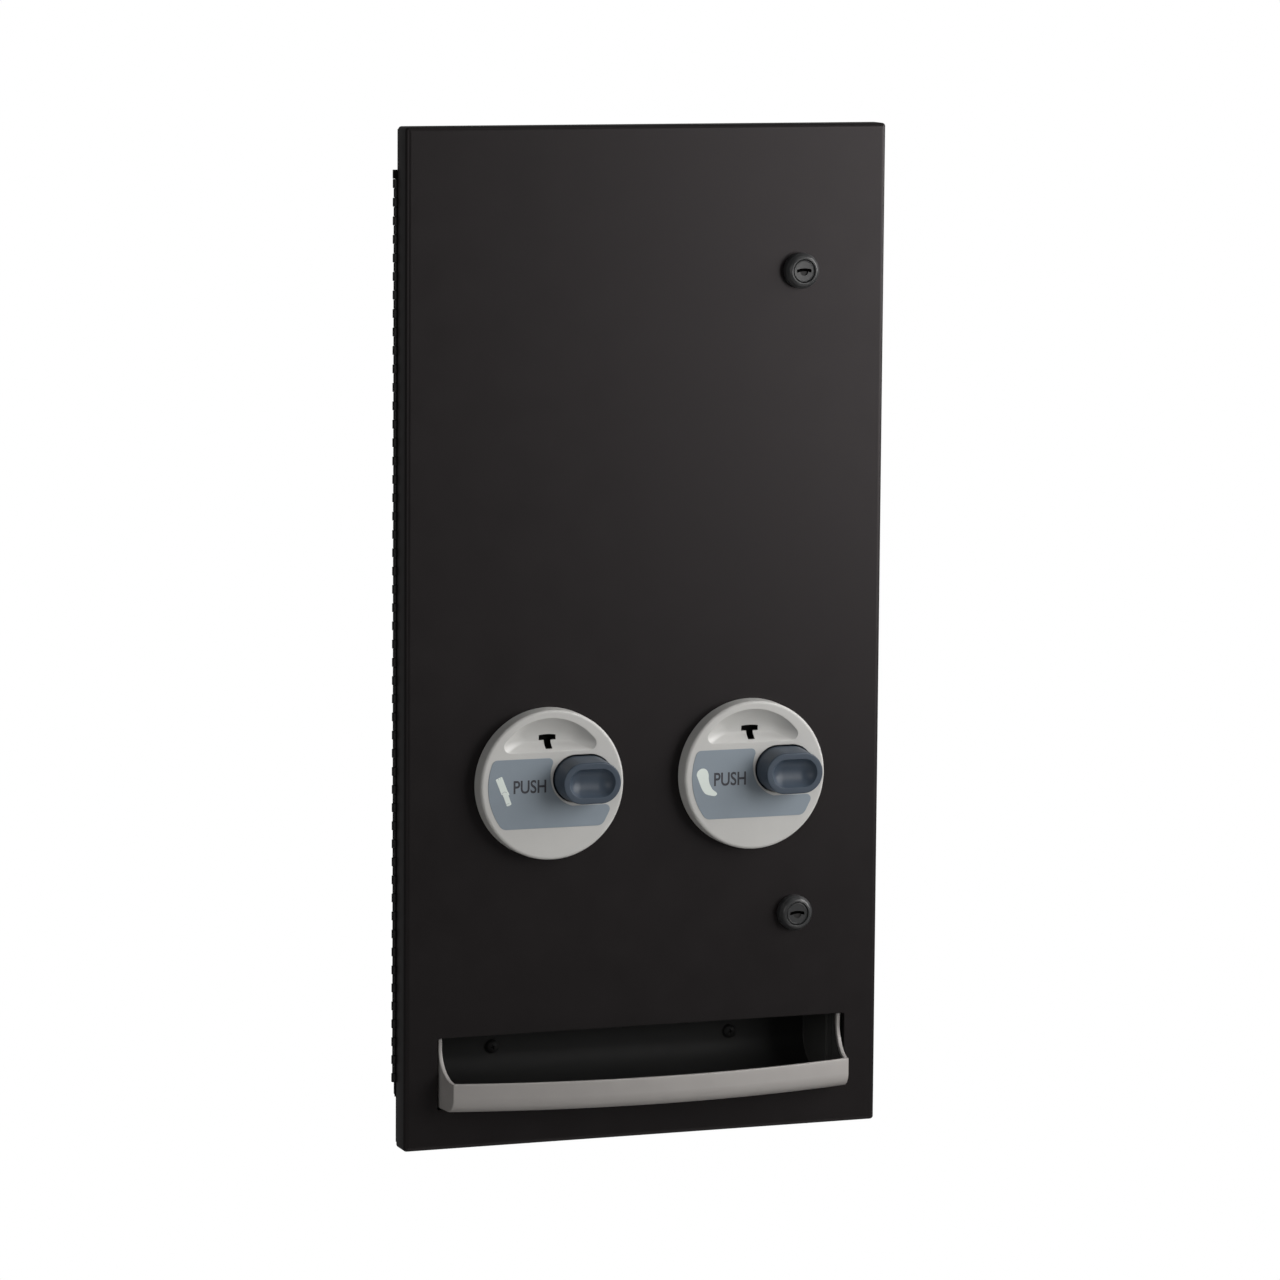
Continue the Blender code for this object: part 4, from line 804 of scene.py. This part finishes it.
BUTTON_BASE = (42.0, 31.7)
BUTTON_BASE_SHIFT = (0.0, 0.6)
BUTTON_FRONT = (42.2, 28.9)
BUTTON_FRONT_SHIFT = (0.5, -0.4)
BUTTON_ROLL = 0.9
BUTTON_RIM = 4.5
BUTTON_RIM_ROLL = 0.35
BUTTON_DISH = 6.1
BUTTON_DISH_INSET = 10.2
BUTTON_DISH_LEVELS = 18
BUTTON_WALL = 2.5
BUTTON_TAPER_END = 19
# The cap ends this far before the taper does
BUTTON_CAP_GAP = 0.4
BUTTON_CAP_CHAMFER = 0.2
BUTTON_SKIRT_START = 0.4
BUTTON_STEM = 1.2
BUTTON_FLANGE = 2


def make_button(name):
    """The push button: a slightly tapered skirt, a rolled edge, a flat rim and a dished thumb rest."""
    low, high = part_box(f"{name}_button")
    dial = front_of(f"{name}_bezel")
    face = Face(dial.x, low.y, dial.z)
    depth = (high.y - low.y) / MM
    flange = (high.x - low.x) / MM / 2 - BUTTON_BASE[0] / 2
    centre = np.array(BUTTON_PLACE)
    base = stadium(centre + BUTTON_BASE_SHIFT, *BUTTON_BASE, 40)
    front = stadium(centre + BUTTON_FRONT_SHIFT, *BUTTON_FRONT, 40)
    skin = Skin()

    def ring(distance, sunk):
        share = min(max(sunk, 0) / BUTTON_TAPER_END, 1)
        return skin.ring(face.at(inset(front * (1 - share) + base * share, distance), sunk))

    cap_end = BUTTON_TAPER_END - BUTTON_CAP_GAP
    flange_front = depth - BUTTON_FLANGE
    levels = [(BUTTON_WALL, depth), (-flange, depth), (-flange, flange_front), (BUTTON_STEM, flange_front),
              (BUTTON_STEM, cap_end), (BUTTON_CAP_CHAMFER, cap_end), (0, cap_end - BUTTON_CAP_CHAMFER),
              (0, BUTTON_ROLL + BUTTON_SKIRT_START)]
    levels += roll(BUTTON_ROLL, 8) + [(BUTTON_ROLL + SUPPORT, 0)]
    rim = BUTTON_RIM - BUTTON_RIM_ROLL
    levels.append((rim - SUPPORT, 0))
    hollow_radius = (BUTTON_DISH_INSET ** 2 + BUTTON_DISH ** 2) / (2 * BUTTON_DISH)
    lean = degrees(asin(BUTTON_DISH_INSET / hollow_radius))
    levels += [(rim + a, b + BUTTON_RIM_ROLL) for a, b in arc((0, 0), BUTTON_RIM_ROLL, -90, lean - 90, 5)]
    start_in, start_down = levels[-1]
    for i in range(1, BUTTON_DISH_LEVELS + 1):
        share = i / BUTTON_DISH_LEVELS
        left = BUTTON_DISH_INSET * (1 - share)
        sunk = sqrt(hollow_radius ** 2 - left ** 2) - (hollow_radius - BUTTON_DISH)
        levels.append((start_in + BUTTON_DISH_INSET * share, start_down + sunk))
    rings = [ring(distance, sunk) for distance, sunk in levels]
    skin.tube(rings)
    inner = ring(BUTTON_WALL, BUTTON_DISH + BUTTON_WALL)
    skin.bridge(rings[0], inner)
    skin.fill(inner)
    skin.fill(rings[-1])
    show(f"{name}_push_button", skin, f"{name}_button_slide", "button_slate", [f"{name}_button"])


# Locks

# Sections as (radius, depth): the rim's inner ring, its side, the plug's front
LOCK_RING = [(8.2, 4.0), (8.2, 0.3), (8.32, 0.1), (8.7, 0.05), (8.85, 0.2)]
LOCK_SIDE = [(12.3, 3.4), (12.45, 3.95), (12.45, 8.58), (12.3, 8.98), (10.45, 8.98), (9.3, 8.98)]
PLUG_FRONT = [(7.85, 0.7), (7.7, 0.35), (7.1, 0), (6.9, 0.02), (6.75, 0.2), (5.5, 0.22), (1.2, 0.3)]
# The dome between ring and side: both radii, first depth, fall, points
LOCK_DOME = (8.9, 11.95, 0.15, 2.9, 12)
LOCK_STEPS = 96
PLUG_STEM_RADIUS = 3.3
PLUG_STEM_LENGTH = 5
# Half length and half width
KEY_SLOT = (5.4, 1.1)
KEY_SLOT_DEPTH = 6
KEY_ARCH = 0.9
KEY_NOTCH = 3.0
KEY_NOTCH_DEPTH = 1.1


def make_lock_rim(name):
    """The lock's domed rim with its inner ring."""
    face = front_of(f"{name}_lock_body")
    back = (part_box(f"{name}_lock_body")[1].y - face.y) / MM
    start, end, depth, fall, steps = LOCK_DOME
    shares = np.linspace(0.05, 1, steps)
    dome = [(start + (end - start) * share, depth + fall * share ** 2) for share in shares]
    profile = LOCK_RING + dome + LOCK_SIDE + [(LOCK_SIDE[-1][0], back), (LOCK_RING[0][0], back)]
    skin = Skin()
    rings = skin.turned(face, profile, LOCK_STEPS)
    skin.tube(rings + rings[:1])
    show(f"{name}_lock_rim", skin, "door", "lock_black", [f"{name}_lock_body"])


def make_lock_barrel(name):
    """The lock's plug with its arched key slot and the notch around it."""
    node = f"{name}_lock_plug"
    low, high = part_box(node)
    body = front_of(f"{name}_lock_body")
    face = Face(body.x, low.y, body.z)
    back = (high.y - low.y) / MM
    shoulder = back - PLUG_STEM_LENGTH
    stem = [(PLUG_STEM_RADIUS, back), (PLUG_STEM_RADIUS, shoulder), (PLUG_FRONT[0][0], shoulder)]
    skin = Skin()
    skin.solid(skin.turned(face, stem + PLUG_FRONT, LOCK_STEPS))
    plug = show(f"{name}_lock_barrel", skin, f"{name}_lock_turn", "lock_black", [node],
                [PAINTED_SHADE_BLACK, LOOKS["bin_black"]])
    half, thin = KEY_SLOT
    steps = np.linspace(1, -1, 17)
    upper = [(half * s, thin + KEY_ARCH * (1 - s * s)) for s in steps]
    lower = [(half * s, -thin + KEY_ARCH * (1 - s * s)) for s in steps[::-1]]
    # The key slot's walls take the near-black material: painted shade
    cut(plug, face, np.array(upper + lower), KEY_SLOT_DEPTH)
    # The notch's walls and floor take the darker bin black: painted shade in the recess
    notch = arc((0, KEY_ARCH - thin), KEY_NOTCH, 180, 360, 20)
    cut(plug, face, notch, KEY_NOTCH_DEPTH, kind=2)


# Tray front and bin

TRAY_FRONT = 147.8
# Widening of each side per millimetre of depth
TRAY_SPREAD = 0.12
TRAY_PROUD = 21.2
TRAY_BOW = 19.4
TRAY_WALL = 3.0
TRAY_REAR = 12.0
TRAY_RIM_DEPTH = 3.5
TRAY_TOP = -276.8
TRAY_RIM_TURN = -284.0
TRAY_LIP = -304.8
TRAY_DIP = 0.5
TRAY_BOTTOM = -326.0
TRAY_CHIN = 10.6
TRAY_CORNER = 1.3
TRAY_EDGE = 0.8
# The cheek's rim: a depth on its flat top, its round corner (back, down), its sweep's start and end
CHEEK_FLAT = 8.0
CHEEK_ROUND = ((0.8, 0), (0.23, 0.23), (0, 0.8))
CHEEK_START = 2
CHEEK_END_GAP = 0.3
CHEEK_END_RISE = 0.05
# Rows of points down the front, across the floor, round a corner and over half the bow
FRONT_ROWS = 4
FRONT_GAP = 0.4
FLOOR_DEPTHS = (-6.0, 3.0, TRAY_REAR)
CORNER_ROWS = 6
BOW_ROWS = 49
LINER_GAP = 0.25
LINER_WALL = 0.9
LINER_DROP = 0.7
LINER_EDGE = 0.25
LINER_CORNER = 0.5


def cheek_rim(inset_by, drop):
    """The cheek's rim as (depth, height): back along the top, then down and out to the lip."""
    turn = TRAY_RIM_DEPTH + inset_by
    top = TRAY_TOP - drop
    rear = [(TRAY_REAR, top), (CHEEK_FLAT, top)] + [(turn + a, top - b) for a, b in CHEEK_ROUND]
    rear += [(turn, z) for z in np.linspace(top - CHEEK_START, TRAY_RIM_TURN, 5)[:-1]]
    reach, low = TRAY_PROUD + TRAY_RIM_DEPTH, TRAY_LIP - TRAY_DIP - drop
    rise = TRAY_RIM_TURN - low
    last = -TRAY_PROUD + TRAY_WALL + inset_by
    sweep = [(turn - reach * (1 - cos(t)), TRAY_RIM_TURN - rise * sin(t))
             for t in np.linspace(0, pi / 2, 31)]
    sweep = [point for point in sweep if point[0] > last + CHEEK_END_GAP]
    return np.array(rear + sweep + [(last, low + CHEEK_END_RISE)])


def make_tray_shell(name, slot, nodes, start, wall, drop, edge, corner, side=None):
    """
    A shell that follows the tray: flat cheeks, a bowed front with a rolled chin, and a floor.
    It starts a distance inside the tray's outside, with its rim a drop below the tray's.
    The cheeks' inner faces take the side material where there is one: for the liner, a lighter copy of the bin's
    black that paints the light those faces catch.
    """
    y0 = DOOR_LOW.y / MM
    radius = (TRAY_FRONT ** 2 + TRAY_BOW ** 2) / (2 * TRAY_BOW)

    def half(y):
        return TRAY_FRONT - start + (y + TRAY_PROUD) * TRAY_SPREAD

    def profile(offset):
        """Front, chin and floor at an offset inside the tray's outside, with inward normals."""
        chin = TRAY_CHIN - offset
        hub = (-TRAY_PROUD + TRAY_CHIN, TRAY_BOTTOM + TRAY_CHIN)
        turns = arc(hub, chin, 180, 270, 10)
        heights = np.linspace(TRAY_LIP - drop - edge, hub[1] + FRONT_GAP, FRONT_ROWS)
        points = [(-TRAY_PROUD + offset, z) for z in heights]
        points += list(turns) + [(y, TRAY_BOTTOM + offset) for y in FLOOR_DEPTHS]
        inward = [(1.0, 0.0)] * FRONT_ROWS + [((hub[0] - y) / chin, (hub[1] - z) / chin) for y, z in turns]
        inward += [(0.0, 1.0)] * len(FLOOR_DEPTHS)
        return np.array(points), np.array(inward)

    def bowed(x, y):
        """How far the bow carries a point at x out of the wall; it fades out towards the rear."""
        out = sqrt(radius ** 2 - x ** 2) - sqrt(radius ** 2 - TRAY_FRONT ** 2)
        return y - out * min(1.0, (TRAY_REAR - y) / (TRAY_REAR + TRAY_PROUD - TRAY_CHIN))

    def bow_row(points, less, share):
        """Points over the bow at a share of the half width, which is less by a distance."""
        row = []
        for y, z in points:
            x = (half(y) - less) * share
            row.append(np.array([x, bowed(x, y), z]))
        return row

    outer, inward = profile(start)
    inner, _ = profile(start + wall)
    rolls = [(edge + a, edge + b) for a, b in arc((0, 0), edge, 180, 90, 5)]

    def band(low, far, away):
        """Points across the rim from its outer side over the top to its inner side."""
        across = (far - low) / np.linalg.norm(far - low)
        near = [low + across * a + away * (b - edge) for a, b in rolls]
        other = [far - across * a + away * (b - edge) for a, b in rolls]
        return near + other[::-1]

    rim = cheek_rim(start, drop)
    cheek_rows, rows = [], []
    for i, (y, z) in enumerate(rim):
        along = rim[min(i + 1, len(rim) - 1)] - rim[max(i - 1, 0)]
        along = along / np.linalg.norm(along)
        away = np.array([0, along[1], -along[0]])
        away = away if away[2] - away[1] > 0 else -away
        low = np.array([-half(y), y, z]) - away * edge
        far = np.array([-half(y) + wall, y, z]) - away * edge
        cheek_rows.append(band(low, far, away))
    up = np.array([0, 0, 1.0])
    for turn in np.radians(np.linspace(0, 90, CORNER_ROWS)):
        aside, ahead = 1 - cos(turn), 1 - sin(turn)
        column = []
        for (y, z), n in zip(outer, inward):
            place = [-half(y) + corner * aside, y + n[0] * corner * ahead, z + n[1] * corner * ahead]
            column.append(np.array(place))
        rows.append((column, [np.array([-half(y) + wall, y, z]) for y, z in inner]))
    for share in np.linspace(-1, 0, BOW_ROWS)[1:]:
        rows.append((bow_row(outer, corner, share), bow_row(inner, wall, share)))

    skin = Skin()

    def laid(points, sign):
        return skin.ring([(sign * x * MM, (y0 + y) * MM, z * MM) for x, y, z in points])

    count, band_size = len(outer), len(cheek_rows[0])
    for sign in (1, -1):
        cheek = [laid(row, sign) for row in cheek_rows]
        front = [laid(column[::-1] + band(column[0], back[0], up) + back, sign) for column, back in rows]
        first = front[0]
        skin.tube(cheek, closed=False)
        skin.bridge(cheek[-1], first[count:count + band_size], closed=False)
        skin.tube(front)
        skin.fill([row[0] for row in cheek] + first[:count + 1][::-1])
        # The inner cheek face takes the side material, which for the liner is painted light
        skin.fill([row[-1] for row in cheek] + first[count + band_size - 1:], kind=1 if side else 0)
        skin.fill(cheek[0] + [first[-1]] + [row[0] for row in front[:CORNER_ROWS]][::-1])
    show(name, skin, "door", slot, nodes, [side] if side else [], sharp=40)


def make_tray():
    make_tray_shell("tray_lip", "tray_grey", ["tray_front"], 0, TRAY_WALL, 0, TRAY_EDGE, TRAY_CORNER)
    # The liner's inner cheek faces take the lighter bin black: painted light
    make_tray_shell("bin_liner", "bin_black", [], TRAY_WALL + LINER_GAP, LINER_WALL, LINER_DROP,
                    LINER_EDGE, LINER_CORNER, BIN_SIDE_PAINTED_LIGHT)


BIN_WALL = 1.5
BIN_CURVE = 22.0
BIN_EDGE = 0.6
BEAD_DEPTH = 21.5
BEAD_HALF = 2.6
BEAD_RISE = 1.0
BEAD_SUNK = 0.3
# The bead's section is a cosine squared up to this many radians on both sides
BEAD_SWEEP = 1.5
# How far the beads end above the bin's floor and below its top
BEAD_ENDS = (0.3, 0.8)


def make_bin_tub():
    """The black tub behind the opening: floor, round corner and back, with a bead down each side."""
    low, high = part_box("tray_bin")
    front, back = low.y / MM, high.y / MM
    floor, top = low.z / MM, high.z / MM
    half = high.x / MM

    def section(grow):
        hub = (back - BIN_WALL - BIN_CURVE, floor + BIN_WALL + BIN_CURVE)
        corner = arc(hub, BIN_CURVE + grow, 270, 360, 24)
        lowest, rear = floor + BIN_WALL - grow, back - BIN_WALL + grow
        return np.array([(front, lowest), *corner, (rear, top), (front, top)])

    outer, inner = section(BIN_WALL), section(0)
    skin = Skin()
    rings, inside = [], []
    for sign in (-1, 1):
        rings.append(skin.ring([(sign * half * MM, y * MM, z * MM) for y, z in outer]))
        inside.append(skin.ring([(sign * (half - BIN_WALL) * MM, y * MM, z * MM) for y, z in inner]))
    for pair in (rings, inside):
        for i in range(len(outer) - 2):
            skin.face((pair[0][i], pair[0][i + 1], pair[1][i + 1], pair[1][i]))
        for ring in pair:
            # The inside end walls take kind 1, the lighter bin black: painted light
            skin.fill(ring, kind=1 if pair is inside else 0)
    for side in (0, 1):
        skin.face((rings[side][-1], rings[side][0], inside[side][0], inside[side][-1]))
        skin.face((rings[side][-1], rings[side][-2], inside[side][-2], inside[side][-1]))
    for i in (0, -2):
        skin.face((rings[0][i], rings[1][i], inside[1][i], inside[0][i]))
    tub = show("bin_tub", skin, "door", "bin_black", ["tray_bin"], [BIN_SIDE_PAINTED_LIGHT])
    add_bevel(tub, BIN_EDGE, 3)

    skin = Skin()
    bead_y = DOOR_LOW.y / MM + BEAD_DEPTH
    above_floor, below_top = BEAD_ENDS
    heights = (floor + BIN_WALL + above_floor, top - below_top)
    swell = [(BEAD_RISE * cos(t) ** 2, BEAD_HALF * t / BEAD_SWEEP)
             for t in np.linspace(-BEAD_SWEEP, BEAD_SWEEP, 15)]
    profile = [(-BEAD_SUNK, -BEAD_HALF), *swell, (-BEAD_SUNK, BEAD_HALF)]
    for sign in (-1, 1):
        wall_x = sign * (half - BIN_WALL)
        loop = [(wall_x - sign * lift, bead_y + a) for lift, a in profile]
        rings = [skin.level(loop, z) for z in heights]
        # The beads' sides take the lighter bin black: painted light
        skin.tube(rings, kind=1)
        skin.fill(rings[0])
        skin.fill(rings[1])
    show("bin_beads", skin, "door", "bin_black", [], [BIN_SIDE_PAINTED_LIGHT], sharp=60)


SCREW_SHANK = 2.0
SCREW_EXTRA = 0.1
# The head below its dome as (radius, depth), and how far the dome rises from it
SCREW_HEAD = [(2.0, 3.3), (5.0, 3.3), (5.0, 3.0)]
SCREW_RISE = 2.7
# Both bars of the cross recess: length, width, corner radius
RECESS = (3.8, 0.7, 0.15)
RECESS_TURN = 15
RECESS_DEPTH = 1.2


def make_bin_screw(side):
    """A dome-headed screw in the bin's back wall, with a cross recess."""
    name = f"{side}_bin_screw"
    low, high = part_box(name)
    face = front_of(name)
    shank = (SCREW_SHANK, (high.y - low.y) / MM + SCREW_EXTRA)
    radius, rim = SCREW_HEAD[-1]
    dome = [(radius * sin(t), rim - SCREW_RISE * cos(t)) for t in np.radians(np.linspace(80, 6, 12))]
    skin = Skin()
    skin.solid(skin.turned(face, [shank] + SCREW_HEAD + dome, 48))
    screw = show(f"{side}_bin_screw_dome", skin, "door", "bin_black", [name], [PAINTED_SHADE_BLACK])
    # The recess walls take the near-black material: painted shade
    for turn in (0, 90):
        cut(screw, face, turned_box((0, 0), *RECESS, turn + RECESS_TURN), RECESS_DEPTH)


# Hidden metal and plastic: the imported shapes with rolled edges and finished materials

SPRING_WIRE = 0.6
SPRING_TURNS = 6
SPRING_STEPS = 32
# The share of its turns that lies flat at each end
SPRING_FLAT = 0.08
NODE_EDGE = 0.25
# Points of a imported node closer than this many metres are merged
NODE_MERGE = 1e-6


def make_spring(name):
    """The return spring: a coil of wire with flat turns at both ends."""
    node = f"{name}_return_spring"
    low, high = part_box(node)
    radius = (high.x - low.x) / 2 / MM - SPRING_WIRE
    face = front_of(node)
    start, end = low.y / MM + SPRING_WIRE, high.y / MM - SPRING_WIRE
    steps = SPRING_TURNS * SPRING_STEPS
    turns = np.arange(steps + 1) * 2 * pi / SPRING_STEPS
    ease = np.clip((np.arange(steps + 1) / steps - SPRING_FLAT) / (1 - 2 * SPRING_FLAT), 0, 1)
    path = np.stack([face.x / MM + radius * np.cos(turns), start + (end - start) * ease,
                     face.z / MM + radius * np.sin(turns)], 1)
    skin = Skin()
    rings = []
    along = np.array([0, 1.0, 0])
    for point, turn in zip(path, turns):
        out = np.array([cos(turn), 0, sin(turn)])
        rings.append(skin.ring([(point + SPRING_WIRE * (out * cos(t) + along * sin(t))) * MM
                                for t in np.linspace(0, 2 * pi, 11)[:-1]]))
    skin.solid(rings)
    spring = show(f"{name}_spring_coil", skin, "door", "zinc_steel", [node], sharp=60)
    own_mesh(spring)


def dress_packed_nodes():
    """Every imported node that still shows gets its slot's material and small rolled edges."""
    slots = {part["node"]: part["material_slot"] for part in frame["record"]["subparts"]}
    for name, node in frame["nodes"].items():
        if node.hide_render:
            continue
        slot = slots[name]
        node.data.materials.clear()
        node.data.materials.append(LOOKS[slot])
        weld = node.modifiers.new("weld", "WELD")
        weld.merge_threshold = NODE_MERGE
        add_bevel(node, NODE_EDGE, 2)


# Stage, in metres

WALL_SIZE = 4.0
# The wall's cut-out is this much wider than the cabinet on each side
WALL_GAP = 0.002
WALL_GREY = 0.06
FLOOR_DROP = 1.25
FLOOR_GLOW = 0.72
MIRRORED_SHARE = 0.12


def background_share(nodes):
    """How white the background is for a ray: full to the camera, dim in reflections and through glass."""
    path = nodes.add("LightPath")
    both = nodes.add("Math", {0: path.outputs["Is Glossy Ray"], 1: path.outputs["Is Transmission Ray"]})
    both.operation = "MAXIMUM"
    share = nodes.add("Math", {0: both.outputs[0], 1: MIRRORED_SHARE, 2: path.outputs["Is Camera Ray"]})
    share.operation = "MULTIPLY_ADD"
    return share.outputs[0]


def make_wall_material():
    """White to the camera, dull to other rays, and clear from behind."""
    material = bpy.data.materials.new("wall_white")
    nodes = Nodes(material, keep=False)
    dull = nodes.add("BsdfDiffuse", {"Color": (WALL_GREY, WALL_GREY, WALL_GREY, 1)})
    white = nodes.add("Emission")
    clear = nodes.add("BsdfTransparent")
    side = nodes.add("NewGeometry")
    front = nodes.add("MixShader", {0: background_share(nodes), 1: dull.outputs[0], 2: white.outputs[0]})
    all_round = {0: side.outputs["Backfacing"], 1: front.outputs[0], 2: clear.outputs[0]}
    nodes.add("OutputMaterial", {"Surface": nodes.add("MixShader", all_round).outputs[0]})
    return material


def make_stage():
    """A white wall with a cut-out for the cabinet, seen only from the front, and a pale floor."""
    low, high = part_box("cabinet_box")
    wall_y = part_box("mounting_flange")[1].y
    half = WALL_SIZE / 2
    floor_z = -FLOOR_DROP
    skin = Skin()

    def frame_ring(left, right, bottom, top):
        return skin.ring([(left, wall_y, bottom), (right, wall_y, bottom), (right, wall_y, top),
                          (left, wall_y, top)])

    outer = frame_ring(-half, half, floor_z, floor_z + WALL_SIZE)
    hole = frame_ring(low.x - WALL_GAP, high.x + WALL_GAP, low.z - WALL_GAP, high.z + WALL_GAP)
    skin.fill(outer, [hole])
    mesh = bpy.data.meshes.new("wall")
    mesh.from_pydata(skin.points, [], skin.faces)
    mesh.update()
    if mesh.polygons[0].normal.y > 0:
        mesh.flip_normals()
    mesh.materials.append(make_wall_material())
    wall = add_object("wall", mesh)

    mesh = bpy.data.meshes.new("floor")
    size = 2 * WALL_SIZE
    corners = [(a * size, b * size, floor_z) for a, b in ((-1, -1), (1, -1), (1, 1), (-1, 1))]
    mesh.from_pydata(corners, [], [(0, 1, 2, 3)])
    pale = finish("floor_pale", (232, 231, 229), 0.7, 0.004, 0.00005, 0.01, 0.3)
    nodes = Nodes(pale)
    nodes.shade({
        "Emission Color": (FLOOR_GLOW, FLOOR_GLOW, FLOOR_GLOW, 1),
        "Emission Strength": background_share(nodes),
    })
    mesh.materials.append(pale)
    floor = add_object("floor", mesh)
    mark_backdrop(wall, floor)


AMBIENT = 0.07
AMBIENT_COLOUR = (1, 0.99, 0.98, 1)
LAMP_COLOUR = (1, 0.985, 0.97)
LAMPS = {
    # name: place, what it looks at, width, height, watts
    "key": ((1.12, -1.32, 0.42), (0, -0.12, 0.05), 1.15, 1.25, 20.5),
    "side": ((1.65, -0.5, 0.75), (0, -0.14, 0), 0.5, 1.5, 21),
    "fill": ((-1.9, -1.9, 0.5), (0, -0.12, 0.0), 1.6, 1.6, 10),
    "top": ((0.35, -0.8, 2.2), (0, -0.12, 0), 1.6, 1.0, 3),
    "back_left": ((-2.2, 2.4, 1.4), (0, 0, 0), 1.8, 1.8, 40),
    "back_right": ((2.2, 2.4, 1.2), (0, 0, 0), 1.8, 1.8, 40),
}


def make_lights():
    world = bpy.data.worlds.new("studio")
    bpy.context.scene.world = world
    nodes = Nodes(world, keep=False)
    ambient = nodes.add("Background", {"Color": AMBIENT_COLOUR, "Strength": AMBIENT})
    white = nodes.add("Background", {"Color": (1, 1, 1, 1)})
    mix = nodes.add("MixShader", {0: background_share(nodes), 1: ambient.outputs[0], 2: white.outputs[0]})
    nodes.add("OutputWorld", {"Surface": mix.outputs[0]})
    for name, (place, aim, width, height, watts) in LAMPS.items():
        lamp = bpy.data.lights.new(name, "AREA")
        lamp.shape = "RECTANGLE"
        lamp.size = width
        lamp.size_y = height
        lamp.energy = watts
        lamp.color = LAMP_COLOUR
        light = add_object(name, lamp)
        light.location = place
        light.rotation_euler = (Vector(aim) - Vector(place)).to_track_quat("-Z", "Y").to_euler()


def make_camera():
    yaw, pitch, roll_turn = (radians(v) for v in (CAMERA_YAW, CAMERA_PITCH, CAMERA_ROLL))
    forward = np.array([sin(yaw) * cos(pitch), cos(yaw) * cos(pitch), -sin(pitch)])
    level = np.array([cos(yaw), -sin(yaw), 0])
    rise = np.cross(level, forward)
    right = cos(roll_turn) * level + sin(roll_turn) * rise
    up = -sin(roll_turn) * level + cos(roll_turn) * rise
    data = bpy.data.cameras.new("camera")
    data.sensor_width = SENSOR
    data.sensor_fit = "HORIZONTAL"
    data.lens = FOCAL_PIXELS / IMAGE_PIXELS * SENSOR
    data.clip_end = 50
    camera = add_object("camera", data)
    turn = Matrix((right, up, -forward)).transposed()
    camera.matrix_world = Matrix.Translation(CAMERA_PLACE) @ turn.to_4x4()
    bpy.context.scene.camera = camera


def main():
    make_camera()
    make_stage()
    make_lights()
    make_door()
    make_hinge()
    for name in ("left", "right"):
        make_bezel(name)
        make_label(name)
        make_button(name)
        make_spring(name)
    for name in ("upper", "lower"):
        make_lock_rim(name)
        make_lock_barrel(name)
    make_tray()
    make_bin_tub()
    for side in ("left", "right"):
        make_bin_screw(side)
    dress_packed_nodes()
    bpy.context.scene.view_settings.view_transform = "Standard"


main()
sizes = {name: [list(corner) for corner in box] for name, box in (("cad", cad_box), ("visual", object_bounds()))}
